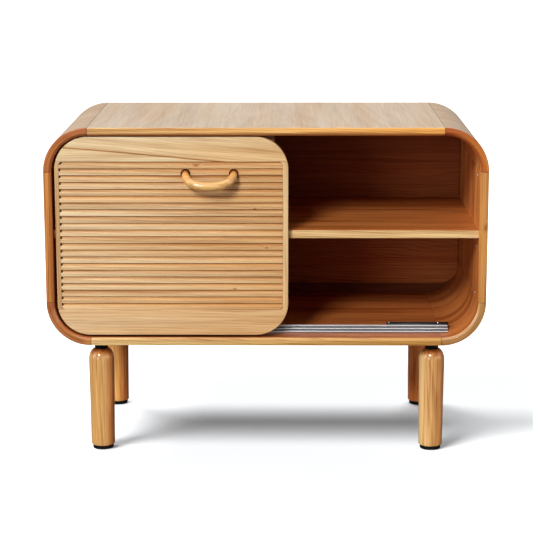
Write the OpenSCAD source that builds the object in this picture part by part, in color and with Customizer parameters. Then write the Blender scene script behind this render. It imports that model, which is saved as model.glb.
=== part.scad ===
// Bedside table: a low wooden case with rounded corners on four turned legs.
// A slatted door slides sideways in front of the shelf, on rollers over a ribbed
// floor track, and a fixed block under the top keeps it upright.
// Millimetres. X runs along the width, the front faces -Y and Z is up.
// Z = 0 is the floor. Pieces are drawn in the case's own frame, where y = 0 is the
// case's front edge and z = 0 its underside, and in_place() moves them to the floor.

/* [Case] */
// Width over the side panels
case_w = 720; // [680:5:800]
// Height of the case, without the legs
case_h = 360; // [345:5:400]
// Depth of the case, without the handle
case_d = 360; // [330:5:420]
// Thickness of the case boards and corners
board_t = 13; // [12:0.5:15]
// Outer radius of the case corners
corner_r = 72; // [66:1:80]
// Bevel along the inner front edge of the case
front_bevel = 4; // [2:0.5:5]
// Small bevel along the other long edges of the boards
edge_bevel = 0.8; // [0.4:0.1:1.2]

/* [Back panel] */
// Thickness of the back panel
back_t = 6; // [4:0.5:8]
// How far the back panel is set in from the back edge
back_inset = 9; // [6:1:14]
// Depth of the groove that holds the back panel
groove_depth = 5; // [3:0.5:6]
// How far the panel's raised field stands forward
field_t = 3; // [2:0.5:5]
// Height of the band between the field and the case floor or top
field_band = 18; // [14:1:26]
// Corner radius of the raised field
field_r = 33; // [24:1:44]
// Gap between the raised field and the walls
field_gap = 0.8; // [0.5:0.1:1.5]

/* [Joints in the case] */
// Thickness of the loose tongues between boards and corners
spline_t = 4; // [3:0.5:5]
// Width of the loose tongues, half of it in each piece
spline_w = 12; // [10:1:13]
// Distance from the tongues to the nearest screws in front of them
spline_clear = 8; // [6:1:12]

/* [Shelf] */
// Thickness of the shelf
shelf_t = 13; // [10:0.5:16]
// Clear height under the shelf
shelf_clear_h = 163.5; // [140:0.5:180]
// How far the shelf is let into the side panels
shelf_housing = 6.5; // [4:0.5:8]
// Gap between the sliding door and the shelf
shelf_gap = 2; // [1.5:0.5:4]

/* [Wall studs] */
// Radius of the round stud heads on the inner walls
stud_head_r = 2.8; // [2:0.1:3.5]
// Distance of the studs from the case front
stud_y = 52; // [40:1:70]
// Heights of the two lower studs above the case underside
stud_heights = [78, 158];
// Distance of the upper stud from the top of the case
stud_top = 84; // [80:1:110]

/* [Legs] */
// Distance from the floor to the case underside
leg_h = 188; // [160:2:220]
// Largest radius of a leg
leg_r = 21.25; // [18:0.25:24]
// Radius of a leg at its foot
leg_foot_r = 19.6; // [17:0.1:21]
// Height of the domed shoulder of a leg
leg_dome_h = 20; // [14:1:26]
// Distance from a leg axis to the case side
leg_inset_x = 84; // [76:1:110]
// Distance from a leg axis to the case front or back
leg_inset_y = 45; // [34:1:60]
// Radius of the black collar above a leg
collar_r = 11; // [9:0.5:14]
// Height of the black collar
collar_h = 15; // [10:1:20]
// Radius of the steel stud through the collar
leg_stud_r = 4; // [3:0.5:5]
// How far the stud goes into the bottom panel
leg_stud_up = 10; // [7:0.5:10.5]
// How far the stud goes into the leg
leg_stud_down = 45; // [30:1:60]
// Radius of the black foot pad
pad_r = 17.3; // [14:0.1:18.5]
// Height of the black foot pad
pad_h = 6.3; // [4:0.1:8]

/* [Door] */
// Width of the door
door_w = 380; // [365:1:400]
// Distance from the case front edge to the door face
door_recess = 2; // [1:0.5:4]
// Gap between the closed door and the side wall
door_side_gap = 3.3; // [2.5:0.1:5]
// Gap over the door
door_top_gap = 2.3; // [1.5:0.1:4]
// Gap under the door
door_bottom_gap = 4.5; // [3:0.1:6]
// Height of the rail over the slats
top_rail_h = 40; // [34:1:46]
// Height of the rail under the slats
bottom_rail_h = 42; // [38:1:48]
// Width of the strips beside the slats
stile_w = 8.8; // [7:0.1:12]
// Size of the slanted corner between strip and rail
stile_ear = 4; // [2:0.5:5]
// Thickness of slats, rails and strips
slat_t = 9; // [8:0.5:11]
// Height of the sunk upper part of each slat
slat_sunk_h = 4.6; // [3:0.1:6]
// Depth of that sunk part
slat_step = 2; // [1:0.1:3]
// Bevel along the edges of each slat's proud part
slat_edge = 0.6; // [0.3:0.1:1]
// Thickness of the panel behind the slats
backing_t = 4; // [3:0.5:6]

/* [Handle] */
// Half the distance between the handle's feet
handle_half_w = 40; // [34:1:46]
// Distance from the door's right edge to the handle's middle
handle_edge = 127; // [110:1:150]
// Distance from the door's upper edge to the handle's feet, which stand in the nearest slat
handle_foot_z = 57; // [52:0.5:110]
// How far the grip's centre stands in front of the door face
handle_out = 28; // [22:0.5:34]
// How far the grip hangs below the feet
handle_drop = 18; // [10:0.5:24]
// Radius of the rod at the grip
grip_r = 6.6; // [5.5:0.1:7.5]
// Radius of the rod at its feet
handle_foot_r = 5.6; // [4.6:0.1:6]
// Radius of the tenon that goes from each foot into a slat
tenon_r = 3.8; // [3:0.1:4.2]
// Outer radius of the dark ring round each foot
ferrule_r = 8.1; // [7.5:0.1:9]
// Thickness of the dark ring
ferrule_t = 3; // [2:0.5:4]
// How far the dark ring stands proud of the slat
ferrule_proud = 0.3; // [0.2:0.1:0.6]

/* [Floor track] */
// Distance from the case front to the track
track_y = 33; // [31:0.5:38]
// Depth of the track, front to back
track_d = 18; // [17:0.5:20]
// Length of the track
track_l = 604; // [580:1:612]
// Distance from the track's ends to its outer screws
track_screw_in = 42; // [30:1:60]
// Thickness of the track's base
track_base_t = 2; // [1.5:0.1:2.2]
// Height of the front rib, base included
rib_front_h = 4; // [3:0.1:4.5]
// Height of the middle rib, which carries the rollers
rib_mid_h = 7; // [6:0.1:8]
// Height of the back rib
rib_back_h = 10.5; // [9:0.1:11.5]
// Width of each rib
rib_w = 2.6; // [2:0.1:3]
// Distance from the track's front edge to the middle of the middle rib
rib_mid_y = 9.5; // [9.2:0.1:10]

/* [Rollers] */
// Radius at the bottom of the roller's groove
roller_tread_r = 5; // [4.5:0.1:5.5]
// Radius of the roller's flanges
roller_r = 7; // [6.6:0.1:7.4]
// Width of a roller
roller_w = 6; // [5.4:0.1:6.4]
// Radius of a roller's steel pin
pin_r = 2; // [1.5:0.1:2.5]
// Distance from the door's edges to the middle of each roller
roller_inset = 79; // [74:1:100]

/* [Carriages] */
// Width of a carriage's plate on the door
carriage_w = 40; // [36:1:44]
// Height of that plate
carriage_h = 34; // [30:1:36]
// Thickness of the plate and of the roller's cheeks
carriage_t = 2; // [1.5:0.1:2.2]
// Thickness of the arm over the roller
arm_t = 2.5; // [2:0.1:4]
// Half width of the roller's cheeks
cheek_half_w = 8; // [7:0.5:9]
// Thickness of the blade that reaches behind the track
blade_t = 3; // [2:0.1:3.4]
// Length of the blade along the track
blade_w = 4; // [3:0.5:6]
// How far the blade's arm reaches past the roller's cheeks
blade_out = 12; // [10:0.5:16]
// Height of the carriage's plate above the door's lower edge
plate_up = 6.5; // [5:0.5:9]
// Distance from the plate's edges to its screws
plate_screw_in = 5; // [4:0.5:6]

/* [Damper] */
// Depth of the damper and of the stop, front to back
damper_d = 11; // [10.4:0.1:13]
// Height of the damper above the case floor
damper_h = 12.7; // [12:0.1:13.5]
// Length of the damper
damper_l = 103; // [90:1:120]
// Width of the slot in the damper's top
damper_slot_w = 4; // [3.8:0.1:4.6]
// Depth of that slot
damper_slot_d = 8.7; // [8.4:0.1:9.5]
// Thickness of the wall behind that slot
damper_wall = 1.6; // [1.2:0.1:2]
// Length of the closed end that stops the door
stop_l = 18.7; // [16:0.1:22]
// Distance from the damper's open end to its first screw
damper_screw_in = 4; // [3:0.1:8]
// Distance from the damper's closed end to its second screw
damper_screw_out = 17.7; // [8:0.1:24]
// Length of the sliding catch
catch_l = 12; // [8:0.5:16]
// Height of the sliding catch
catch_h = 3.8; // [3:0.1:4]
// Travel of the sliding catch
catch_travel = 40; // [30:1:45]
// Length of the left stop's foot, which its screw goes through
stop_foot_l = 9; // [7:0.5:14]
// Height of that foot
stop_foot_h = 5; // [3:0.5:6]

/* [Top guide] */
// Width of the guide block under the top
block_w = 28; // [22:1:36]
// Distance from the case front to the guide block
block_y = 18; // [17.6:0.1:19]
// Depth of the guide block, front to back
block_d = 15; // [14:0.5:18]
// Height of the guide block
block_h = 18; // [16.5:0.5:19]
// Distance from the case front to the middle of the upturned lip
lip_y = 23.25; // [23:0.05:24]
// Thickness of the guide rail
rail_t = 1.5; // [1.2:0.1:1.8]
// Height of the upturned lip, web included
lip_h = 7; // [6:0.1:7.5]
// How far the lip reaches up into the block
lip_reach = 4; // [3:0.1:5]
// Distance from the guide rail's ends to the door's edges
rail_end = 28; // [26:1:34]
// Distance from the guide rail's ends to its outer screws
rail_screw_in = 14; // [8:1:20]
// Height of the guide rail's leg on the door, under its web
rail_drop = 10; // [8:0.5:12]
// Distance of the block's screws from its middle
block_screw_x = 8; // [6:0.5:8.5]

/* [Fasteners] */
// Radius of the small screws' shanks
screw_r = 1.4; // [1.2:0.1:1.6]
// Radius of the small screws' heads
screw_head_r = 2.3; // [2:0.1:2.5]
// Height of the small screws' heads
screw_head_h = 1.3; // [1:0.1:1.4]
// How far the small screws go into the wood
screw_bite = 8; // [6:0.5:8.5]
// Room in the wood past a screw's tip
screw_tip = 0.5; // [0.3:0.1:1]

/* [Clearances] */
// Play between glued or pushed pieces
glue_gap = 0.1; // [0.05:0.01:0.15]
// Radial play of a roller on its pin
run_gap = 0.05; // [0.02:0.01:0.08]
// Gap between surfaces that slide past each other
slide_gap = 0.3; // [0.2:0.05:0.4]
// Gap between a roller's tread and the rib under it
roll_gap = 0.15; // [0.1:0.01:0.2]
// Gap between the damper's catch and the blade that passes over it
blade_gap = 0.5; // [0.4:0.1:0.8]
// Gap between a roller and the arm over it
arm_gap = 1; // [0.6:0.1:1.5]

/* [Hidden] */
$fn = 64;
eps = 0.01;
slat_count = 22;

// Case
inner_w = case_w - 2 * board_t;
inner_h = case_h - 2 * board_t;
inner_r = corner_r - board_t;
seam_x = case_w / 2 - corner_r;
seam_z = case_h / 2 - corner_r;
mid_z = case_h / 2;
floor_z = board_t;
ceiling_z = case_h - board_t;
back_y = case_d - back_inset - back_t;
field_y = back_y - field_t;

// Door
door_left = -inner_w / 2 + door_side_gap;
door_right = door_left + door_w;
door_z0 = floor_z + door_bottom_gap;
door_z1 = ceiling_z - door_top_gap;
door_h = door_z1 - door_z0;
door_r = inner_r - door_side_gap;
door_t = slat_t + backing_t;
backing_y = door_recess + slat_t;
door_back_y = door_recess + door_t;
door_travel = inner_w - 2 * door_side_gap - door_w;
slats_z0 = door_z0 + bottom_rail_h;
slats_z1 = door_z1 - top_rail_h;
slat_pitch = (slats_z1 - slats_z0) / slat_count;

// Shelf
shelf_y = door_back_y + shelf_gap;
shelf_z = floor_z + shelf_clear_h;

// Handle
handle_x = door_right - handle_edge;
handle_slat = round((handle_foot_z - top_rail_h) / slat_pitch + 0.5);
handle_z = slats_z1 - (handle_slat - 0.5) * slat_pitch;
handle_steps = 36;
handle_sides = 24;
handle_roundness = 2.6;
tenon_hole = 5;

// Track, rollers and carriages
rib_mid_c = track_y + rib_mid_y;
roller_z = floor_z + rib_mid_h + roll_gap + roller_tread_r;
roller_x = [door_left + roller_inset, door_right - roller_inset];
cheek_gap = roller_w / 2 + slide_gap;
cheek_rim = 1.15;
cheek_z0 = roller_z - pin_r - cheek_rim;
arm_z0 = roller_z + roller_r + arm_gap;
arm_z1 = arm_z0 + arm_t;
plate_z0 = door_z0 + plate_up;
plate_screw_x = carriage_w / 2 - plate_screw_in;
plate_screw_z = [plate_z0 + plate_screw_in, plate_z0 + carriage_h - plate_screw_in];

// Damper, its catch and the left stop stand just behind the track
damper_y = track_y + track_d + slide_gap;
slot_c = damper_y + damper_d - damper_wall - damper_slot_w / 2;
stop_face = inner_w / 2 - door_side_gap - roller_inset + cheek_half_w + blade_out + slide_gap;
damper_x1 = stop_face + stop_l;
damper_x0 = damper_x1 - damper_l;
slot_z = floor_z + damper_h - damper_slot_d;
catch_x = stop_face - catch_travel - catch_l - slide_gap;
blade_z0 = slot_z + slide_gap + catch_h + blade_gap;
damper_screw_r = 1.9;
damper_screw_y = damper_y + damper_screw_r + 0.5;
damper_screw_x = [damper_x0 + damper_screw_in, damper_x1 - damper_screw_out];
stop_screw_x = -stop_face + stop_foot_l / 2;

// The loose tongues lie between the front fittings and the groove of the back panel
spline_y0 = max(stud_y, damper_screw_y) + spline_clear;
spline_y1 = back_y - spline_t;

// Top guide
block_z0 = ceiling_z - block_h;
rail_z0 = block_z0 + lip_reach - lip_h;
block_screw_y = (lip_y + rail_t / 2 + slide_gap + block_y + block_d) / 2;

// Legs
leg_top_z = -collar_h;
pad_spigot_r = 4;
pad_spigot_h = 8;
leg_axis_x = case_w / 2 - leg_inset_x;

// The handle stands in front of the case, and the whole part is centred in depth
handle_front = handle_out + grip_r - door_recess;
front_y = (handle_front - case_d) / 2;

// Colours
case_colour = "#C98A4B";
corner_colour = "#B5683A";
shelf_colour = "#B06B3C";
door_colour = "#DDB27A";
leg_colour = "#C98D4C";
handle_colour = "#C88A50";
black_colour = "#1A1A1B";
steel_colour = "#C9CBCE";
nylon_colour = "#B9AFA2";
dark_bronze = "#2B1A12";

function slat_name(k) = str("slat_", k + 1 < 10 ? "0" : "", k + 1);
SLATS = [for (k = [0 : slat_count - 1]) slat_name(k)];

// ---------- helpers ----------

module in_place() translate([0, front_y, leg_h]) children();

// A prism along Y whose XZ outline is a rectangle with four round corners
module rounded_prism(x0, x1, z0, z1, r, y0, y1) {
    translate([0, y1, 0]) rotate([90, 0, 0]) linear_extrude(y1 - y0) {
        translate([x0 + r, z0]) square([x1 - x0 - 2 * r, z1 - z0]);
        translate([x0, z0 + r]) square([x1 - x0, z1 - z0 - 2 * r]);
        for (x = [x0 + r, x1 - r], z = [z0 + r, z1 - r]) translate([x, z]) circle(r);
    }
}

module box(x0, x1, y0, y1, z0, z1) translate([x0, y0, z0]) cube([x1 - x0, y1 - y0, z1 - z0]);

// A cylinder along Y from y0 to y1
module rod_y(x, z, r, y0, y1) translate([x, y1, z]) rotate([90, 0, 0]) cylinder(h = y1 - y0, r = r);

// A cylinder along Z from z0 to z1
module rod_z(x, y, r, z0, z1) translate([x, y, z0]) cylinder(h = z1 - z0, r = r);

// Copies on both sides of the case's middle
module both_sides() {
    children();
    mirror([1, 0, 0]) children();
}

module at_leg(sx, sy) {
    translate([sx * leg_axis_x, sy < 0 ? leg_inset_y : case_d - leg_inset_y, 0]) children();
}

module at_legs() for (sx = [-1, 1], sy = [-1, 1]) at_leg(sx, sy) children();

// The free room inside the case, drawn in by gap
module case_room(y0, y1, gap) {
    rounded_prism(-inner_w / 2 + gap, inner_w / 2 - gap, floor_z + gap, ceiling_z - gap,
        inner_r - gap, y0, y1);
}

// ---------- case ----------

// Cross section of a case board: u goes outwards from the inner face, v from front to back.
// The inner front edge has the wide bevel, and the groove for the back panel is cut in.
function board_section(play) = [
    [0, front_bevel], [front_bevel, 0], [board_t - edge_bevel, 0], [board_t, edge_bevel],
    [board_t, case_d - edge_bevel], [board_t - edge_bevel, case_d], [edge_bevel, case_d],
    [0, case_d - edge_bevel], [0, back_y + back_t + play], [groove_depth + play, back_y + back_t + play],
    [groove_depth + play, back_y - play], [0, back_y - play]
];

// A flat board of the given length: its inner face is z = 0, and it runs along X
module flat_board(length) {
    rotate([90, 0, 90]) linear_extrude(length, center = true)
        polygon([for (p = board_section(glue_gap)) [p[1], p[0]]]);
}

// Room for a loose tongue at a seam: u is across the seam, centred on the board's thickness
module spline_room() {
    box(-spline_w / 2 - glue_gap, spline_w / 2 + glue_gap,
        spline_y0 - glue_gap, spline_y1 + glue_gap,
        board_t / 2 - spline_t / 2 - glue_gap / 2, board_t / 2 + spline_t / 2 + glue_gap / 2);
}

// The four places of a thing that is drawn at the right end of the top board
module at_flat_seams() {
    for (mx = [0, 1], mz = [0, 1])
        translate([0, 0, mid_z]) mirror([mx, 0, 0]) mirror([0, 0, mz])
            translate([seam_x, 0, inner_h / 2]) children();
}

// The four places of the same thing at the ends of the side boards
module at_side_seams() {
    for (mx = [0, 1], mz = [0, 1])
        translate([0, 0, mid_z]) mirror([mx, 0, 0]) mirror([0, 0, mz])
            translate([inner_w / 2, 0, seam_z]) mirror([0, 0, 1]) rotate([0, 90, 0]) children();
}

module all_spline_rooms() {
    at_flat_seams() spline_room();
    at_side_seams() spline_room();
}

module top_board_blank() translate([0, 0, ceiling_z]) flat_board(2 * seam_x);

module top_panel() color(case_colour) in_place() difference() {
    top_board_blank();
    all_spline_rooms();
    for (x = [-block_screw_x, block_screw_x])
        rod_z(x, block_screw_y, screw_r + glue_gap / 2, ceiling_z - eps, ceiling_z + screw_bite);
}

module bottom_panel() color(case_colour) in_place() difference() {
    translate([0, 0, case_h]) mirror([0, 0, 1]) top_board_blank();
    all_spline_rooms();
    at_legs() translate([0, 0, -eps]) cylinder(h = leg_stud_up + glue_gap, r = leg_stud_r + glue_gap / 2);
    track_screw_places() rod_z(0, 0, screw_r + glue_gap / 2, floor_z - screw_bite, floor_z + eps);
    for (x = concat(damper_screw_x, [stop_screw_x]))
        rod_z(x, damper_screw_y, screw_r + glue_gap / 2, floor_z - screw_bite, floor_z + eps);
}

module side_board() difference() {
    translate([inner_w / 2, 0, mid_z]) rotate([0, 90, 0]) flat_board(2 * seam_z);
    all_spline_rooms();
    box(inner_w / 2 - eps, inner_w / 2 + shelf_housing, shelf_y - glue_gap, back_y + eps,
        shelf_z - glue_gap / 2, shelf_z + shelf_t + glue_gap / 2);
    stud_places() rotate([0, 90, 0]) translate([0, 0, -eps])
        cylinder(h = screw_bite, r = screw_r + glue_gap / 2);
}

module left_panel() color(case_colour) in_place() mirror([1, 0, 0]) side_board();
module right_panel() color(case_colour) in_place() side_board();

// A quarter ring whose cross section is the same as the boards'
module corner_block() difference() {
    translate([seam_x, 0, mid_z + seam_z]) rotate([90, 0, 0]) rotate_extrude(angle = 90)
        polygon([for (p = board_section(glue_gap)) [inner_r + p[0], -p[1]]]);
    all_spline_rooms();
}

module corner(mx, mz) color(corner_colour) in_place()
    translate([0, 0, mid_z]) mirror([mx, 0, 0]) mirror([0, 0, mz]) translate([0, 0, -mid_z]) corner_block();

// The panel sits in the groove, and its raised field has tighter corners than the case
module back_panel() color(shelf_colour) in_place() {
    rounded_prism(-inner_w / 2 - groove_depth, inner_w / 2 + groove_depth,
        floor_z - groove_depth, ceiling_z + groove_depth, inner_r + groove_depth, back_y, back_y + back_t);
    intersection() {
        rounded_prism(-inner_w / 2, inner_w / 2, floor_z + field_band, ceiling_z - field_band,
            field_r, field_y, back_y + eps);
        case_room(field_y - 1, back_y + 1, field_gap);
    }
}

// One loose tongue, centred on its seam and on the board's thickness
module spline() {
    box(-spline_w / 2, spline_w / 2, spline_y0, spline_y1,
        board_t / 2 - spline_t / 2, board_t / 2 + spline_t / 2);
}

module corner_splines() color(shelf_colour) in_place() {
    at_flat_seams() spline();
    at_side_seams() spline();
}

module shelf() color(shelf_colour) in_place()
    box(-inner_w / 2 - shelf_housing + glue_gap, inner_w / 2 + shelf_housing - glue_gap,
        shelf_y, field_y - glue_gap, shelf_z, shelf_z + shelf_t);

// Places of the right wall's studs, with X pointing into the wood
module stud_places() for (z = concat(stud_heights, [case_h - stud_top]))
    translate([inner_w / 2, stud_y, z]) children();

module wall_studs() color(steel_colour) in_place() both_sides() stud_places() rotate([0, 90, 0]) {
    bevel = 0.5;
    translate([0, 0, -screw_head_h]) cylinder(h = bevel, r1 = stud_head_r - bevel, r2 = stud_head_r);
    translate([0, 0, bevel - screw_head_h]) cylinder(h = screw_head_h - bevel, r = stud_head_r);
    cylinder(h = screw_bite - screw_tip, r = screw_r);
}

// ---------- legs ----------

// Half outline of a leg, from the flat under its collar over the dome down to the foot
function leg_outline() =
    let (z_shoulder = leg_top_z - leg_dome_h, z_foot = pad_h - leg_h, edge = 2.2, flat_r = collar_r - 1)
    concat(
        [[0, leg_top_z]],
        [for (a = [0 : 7.5 : 90]) [flat_r + (leg_r - flat_r) * sin(a), leg_top_z - leg_dome_h * (1 - cos(a))]],
        [for (a = [0 : 22.5 : 90]) [leg_foot_r - edge * (1 - cos(a)), z_foot + edge * (1 - sin(a))]],
        [[0, z_foot]]
    );

module leg(sx, sy) color(leg_colour) in_place() at_leg(sx, sy) difference() {
    rotate_extrude() polygon(leg_outline());
    translate([0, 0, leg_top_z - leg_stud_down - glue_gap])
        cylinder(h = leg_stud_down + 1, r = leg_stud_r + glue_gap / 2);
    translate([0, 0, pad_h - leg_h - eps]) cylinder(h = pad_spigot_h + glue_gap, r = pad_spigot_r + glue_gap / 2);
}

module leg_collars() color(black_colour) in_place() at_legs() difference() {
    translate([0, 0, leg_top_z]) cylinder(h = collar_h, r = collar_r);
    translate([0, 0, leg_top_z - 1]) cylinder(h = collar_h + 2, r = leg_stud_r + glue_gap / 2);
}

module leg_studs() color(steel_colour) in_place() at_legs()
    translate([0, 0, leg_top_z - leg_stud_down])
        cylinder(h = leg_stud_down + collar_h + leg_stud_up, r = leg_stud_r);

// Each pad is pushed into its leg by a spigot, and its lower edge is bevelled
module foot_pads() color(black_colour) in_place() at_legs() translate([0, 0, -leg_h]) {
    cylinder(h = 1, r1 = pad_r - 1, r2 = pad_r);
    translate([0, 0, 1]) cylinder(h = pad_h - 1, r = pad_r);
    translate([0, 0, pad_h]) cylinder(h = pad_spigot_h, r = pad_spigot_r);
}

// ---------- floor track and damper ----------

// Height of each rib's round top above its straight part
rib_top = rib_w / 2;

module rib(y, h) {
    translate([y - rib_w / 2, 0]) square([rib_w, h - rib_top]);
    translate([y, h - rib_top]) circle(rib_top);
}

module track_screw_places() {
    reach = track_l / 2 - track_screw_in;
    for (x = [-reach, -reach / 3, reach / 3, reach])
        translate([x, (track_y + rib_w + rib_mid_c - rib_top) / 2, 0]) children();
}

// The track's section is extruded along X, and its ends are scribed to the case's round corners
module floor_track() color(steel_colour) in_place() intersection() {
    difference() {
        translate([-track_l / 2, 0, floor_z]) rotate([90, 0, 90]) linear_extrude(track_l) {
            translate([track_y, 0]) square([track_d, track_base_t]);
            rib(track_y + rib_top, rib_front_h);
            rib(rib_mid_c, rib_mid_h);
            rib(track_y + track_d - rib_top, rib_back_h);
        }
        track_screw_places() rod_z(0, 0, screw_r + glue_gap, floor_z - 1, floor_z + track_base_t + 1);
    }
    case_room(track_y - 1, track_y + track_d + 1, 0);
}

// What stands behind the track is scribed to the case's round corners
module scribed() intersection() {
    children();
    case_room(damper_y - 1, damper_y + damper_d + 1, 0);
}

// A solid block that the left carriage's blade meets, with a foot beside the blade's path
module left_stop() color(black_colour) in_place() difference() {
    scribed() mirror([1, 0, 0]) {
        box(stop_face, damper_x1, damper_y, damper_y + damper_d, floor_z - 1, floor_z + damper_h);
        box(stop_face - stop_foot_l, stop_face + 1, damper_y, slot_c - damper_slot_w / 2,
            floor_z - 1, floor_z + stop_foot_h);
    }
    rod_z(stop_screw_x, damper_screw_y, screw_r + glue_gap, floor_z - 1, floor_z + stop_foot_h + 1);
}

module damper_housing() color(black_colour) in_place() difference() {
    scribed() box(damper_x0, damper_x1, damper_y, damper_y + damper_d, floor_z - 1, floor_z + damper_h);
    box(damper_x0 - 1, stop_face, slot_c - damper_slot_w / 2, slot_c + damper_slot_w / 2,
        slot_z, floor_z + damper_h + 1);
    for (x = damper_screw_x)
        rod_z(x, damper_screw_y, screw_r + glue_gap, floor_z - 1, floor_z + damper_h + 1);
}

// The catch slides along the bottom of the slot, below the blade
module damper_catch() color(black_colour) in_place() {
    half = damper_slot_w / 2 - slide_gap;
    box(catch_x, catch_x + catch_l, slot_c - half, slot_c + half, slot_z + slide_gap,
        slot_z + slide_gap + catch_h);
}

// A screw along Z whose head sits on z = 0 and points up, with its shank below
module screw_down(shank, head_r) {
    cylinder(h = screw_head_h, r = head_r);
    translate([0, 0, -shank]) cylinder(h = shank, r = screw_r);
}

module case_screws() color(steel_colour) in_place() {
    track_screw_places() translate([0, 0, floor_z + track_base_t])
        screw_down(track_base_t + screw_bite - screw_tip, screw_head_r - 0.3);
    for (x = damper_screw_x) translate([x, damper_screw_y, floor_z + damper_h])
        screw_down(damper_h + screw_bite - screw_tip, damper_screw_r);
    translate([stop_screw_x, damper_screw_y, floor_z + stop_foot_h])
        screw_down(stop_foot_h + screw_bite - screw_tip, damper_screw_r);
    for (x = [-block_screw_x, block_screw_x]) translate([x, block_screw_y, block_z0]) mirror([0, 0, 1])
        screw_down(block_h + screw_bite - screw_tip, screw_head_r);
}

// ---------- top guide ----------

// The block hangs under the top, and the door's upturned lip runs in its slot
module guide_block() color(nylon_colour) in_place() difference() {
    box(-block_w / 2, block_w / 2, block_y, block_y + block_d, block_z0, ceiling_z);
    box(-block_w, block_w, lip_y - rail_t / 2 - slide_gap, lip_y + rail_t / 2 + slide_gap,
        block_z0 - 1, block_z0 + lip_reach + 2);
    for (x = [-block_screw_x, block_screw_x])
        rod_z(x, block_screw_y, screw_r + glue_gap, block_z0 - 1, ceiling_z + 1);
}

guide_screw_x = [door_left + rail_end + rail_screw_in, (door_left + door_right) / 2,
    door_right - rail_end - rail_screw_in];
guide_screw_z = rail_z0 - rail_drop / 2;

// An angle on the door's back: a leg against the door, a web to the back and a lip turned up
module guide_rail() color(steel_colour) in_place() difference() {
    x0 = door_left + rail_end;
    x1 = door_right - rail_end;
    union() {
        box(x0, x1, door_back_y, door_back_y + rail_t, rail_z0 - rail_drop, rail_z0 + rail_t);
        box(x0, x1, door_back_y, lip_y + rail_t / 2, rail_z0, rail_z0 + rail_t);
        box(x0, x1, lip_y - rail_t / 2, lip_y + rail_t / 2, rail_z0, rail_z0 + lip_h);
    }
    for (x = guide_screw_x)
        rod_y(x, guide_screw_z, screw_r + glue_gap, door_back_y - 1, door_back_y + rail_t + 1);
}

// ---------- door ----------

module door_outline(y0, y1) rounded_prism(door_left, door_right, door_z0, door_z1, door_r, y0, y1);

// Copies at the handle's two feet
module at_feet() for (sx = [-1, 1]) translate([handle_x + sx * handle_half_w, 0, handle_z]) children();

// A shallow seat for each foot and its dark ring, with a bore for the tenon
module handle_seats() at_feet() {
    rod_y(0, 0, tenon_r + glue_gap, door_recess - 1, backing_y + 1);
    rod_y(0, 0, ferrule_r + glue_gap / 2, door_recess - 1, door_recess + ferrule_t);
}

// Holes for the screws that come from behind the door
module door_screw_holes() {
    door_screw_places() rod_y(0, 0, screw_r + glue_gap / 2, backing_y - screw_depth(), door_back_y + 1);
    at_feet() rod_y(0, 0, screw_r + glue_gap / 2, backing_y - 1, door_back_y + 1);
}

function screw_depth() = screw_bite - backing_t;

// The carriages' and the guide rail's screws, each on the door's back
module door_screw_places() {
    for (x = roller_x, dx = [-1, 1], z = plate_screw_z)
        translate([x + dx * plate_screw_x, 0, z]) children();
    for (x = guide_screw_x) translate([x, 0, guide_screw_z]) children();
}

module door_top_rail() color(door_colour) in_place() difference() {
    intersection() {
        door_outline(door_recess, backing_y);
        box(door_left - 1, door_right + 1, 0, case_d, slats_z1, door_z1 + 1);
    }
    door_screw_holes();
}

module door_bottom_rail() color(door_colour) in_place() difference() {
    intersection() {
        door_outline(door_recess, backing_y);
        box(door_left - 1, door_right + 1, 0, case_d, door_z0 - 1, slats_z0);
    }
    door_screw_holes();
}

// The strip beside the slats. Its ends widen into a slanted corner under each rail.
// A cutter for the slats has play beside the strip and reach past its ends.
module right_stile_shape(play, reach) {
    x = door_right - stile_w - play;
    z0 = slats_z0 + glue_gap;
    z1 = slats_z1 - glue_gap;
    translate([0, backing_y, 0]) rotate([90, 0, 0]) linear_extrude(slat_t)
        polygon([[x - stile_ear, z0 - reach], [door_right + 1, z0 - reach],
            [door_right + 1, z1 + reach], [x - stile_ear, z1 + reach],
            [x - stile_ear, z1], [x, z1 - stile_ear], [x, z0 + stile_ear], [x - stile_ear, z0]]);
}

module right_stile() intersection() {
    door_outline(door_recess, backing_y);
    right_stile_shape(0, 0);
}

module mirror_on_door() {
    c = door_left + door_right;
    translate([c, 0, 0]) mirror([1, 0, 0]) children();
}

module door_right_stile() color(door_colour) in_place() right_stile();
module door_left_stile() color(door_colour) in_place() mirror_on_door() right_stile();

// A slat has a proud lower part and a sunk upper part behind it
module slat_bar(k) {
    z1 = slats_z1 - k * slat_pitch - glue_gap / 2;
    z0 = slats_z1 - (k + 1) * slat_pitch + glue_gap / 2;
    zs = z1 - slat_sunk_h;
    f = door_recess;
    e = slat_edge;
    translate([door_left, 0, 0]) rotate([90, 0, 90]) linear_extrude(door_w)
        polygon([[backing_y, z0], [backing_y, z1], [f + slat_step, z1], [f + slat_step, zs],
            [f + e, zs], [f, zs - e], [f, z0 + e], [f + e, z0]]);
}

module slat(k) color(door_colour) in_place() difference() {
    slat_bar(k);
    right_stile_shape(1.5 * glue_gap, 1);
    mirror_on_door() right_stile_shape(1.5 * glue_gap, 1);
    handle_seats();
}

module door_backing() color(shelf_colour) in_place() difference() {
    door_outline(backing_y, door_back_y);
    door_screw_holes();
}

// ---------- handle ----------

// The rod's centre line: a is 0 at the left foot and 180 at the right foot. Across the door it
// follows a superellipse, it stands out by the same share, and it droops more towards the grip.
function bow_share(a) = pow(max(sin(a), 0), 2 / handle_roundness);
function bow_point(a) =
    let (s = bow_share(a), c = cos(a), x = -sign(c) * pow(abs(c), 2 / handle_roundness))
    [handle_x + handle_half_w * x, door_recess - handle_out * s, handle_z - handle_drop * pow(s, 1.5)];
function bow_radius(a) = handle_foot_r + (grip_r - handle_foot_r) * pow(max(sin(a), 0), 0.6);

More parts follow.
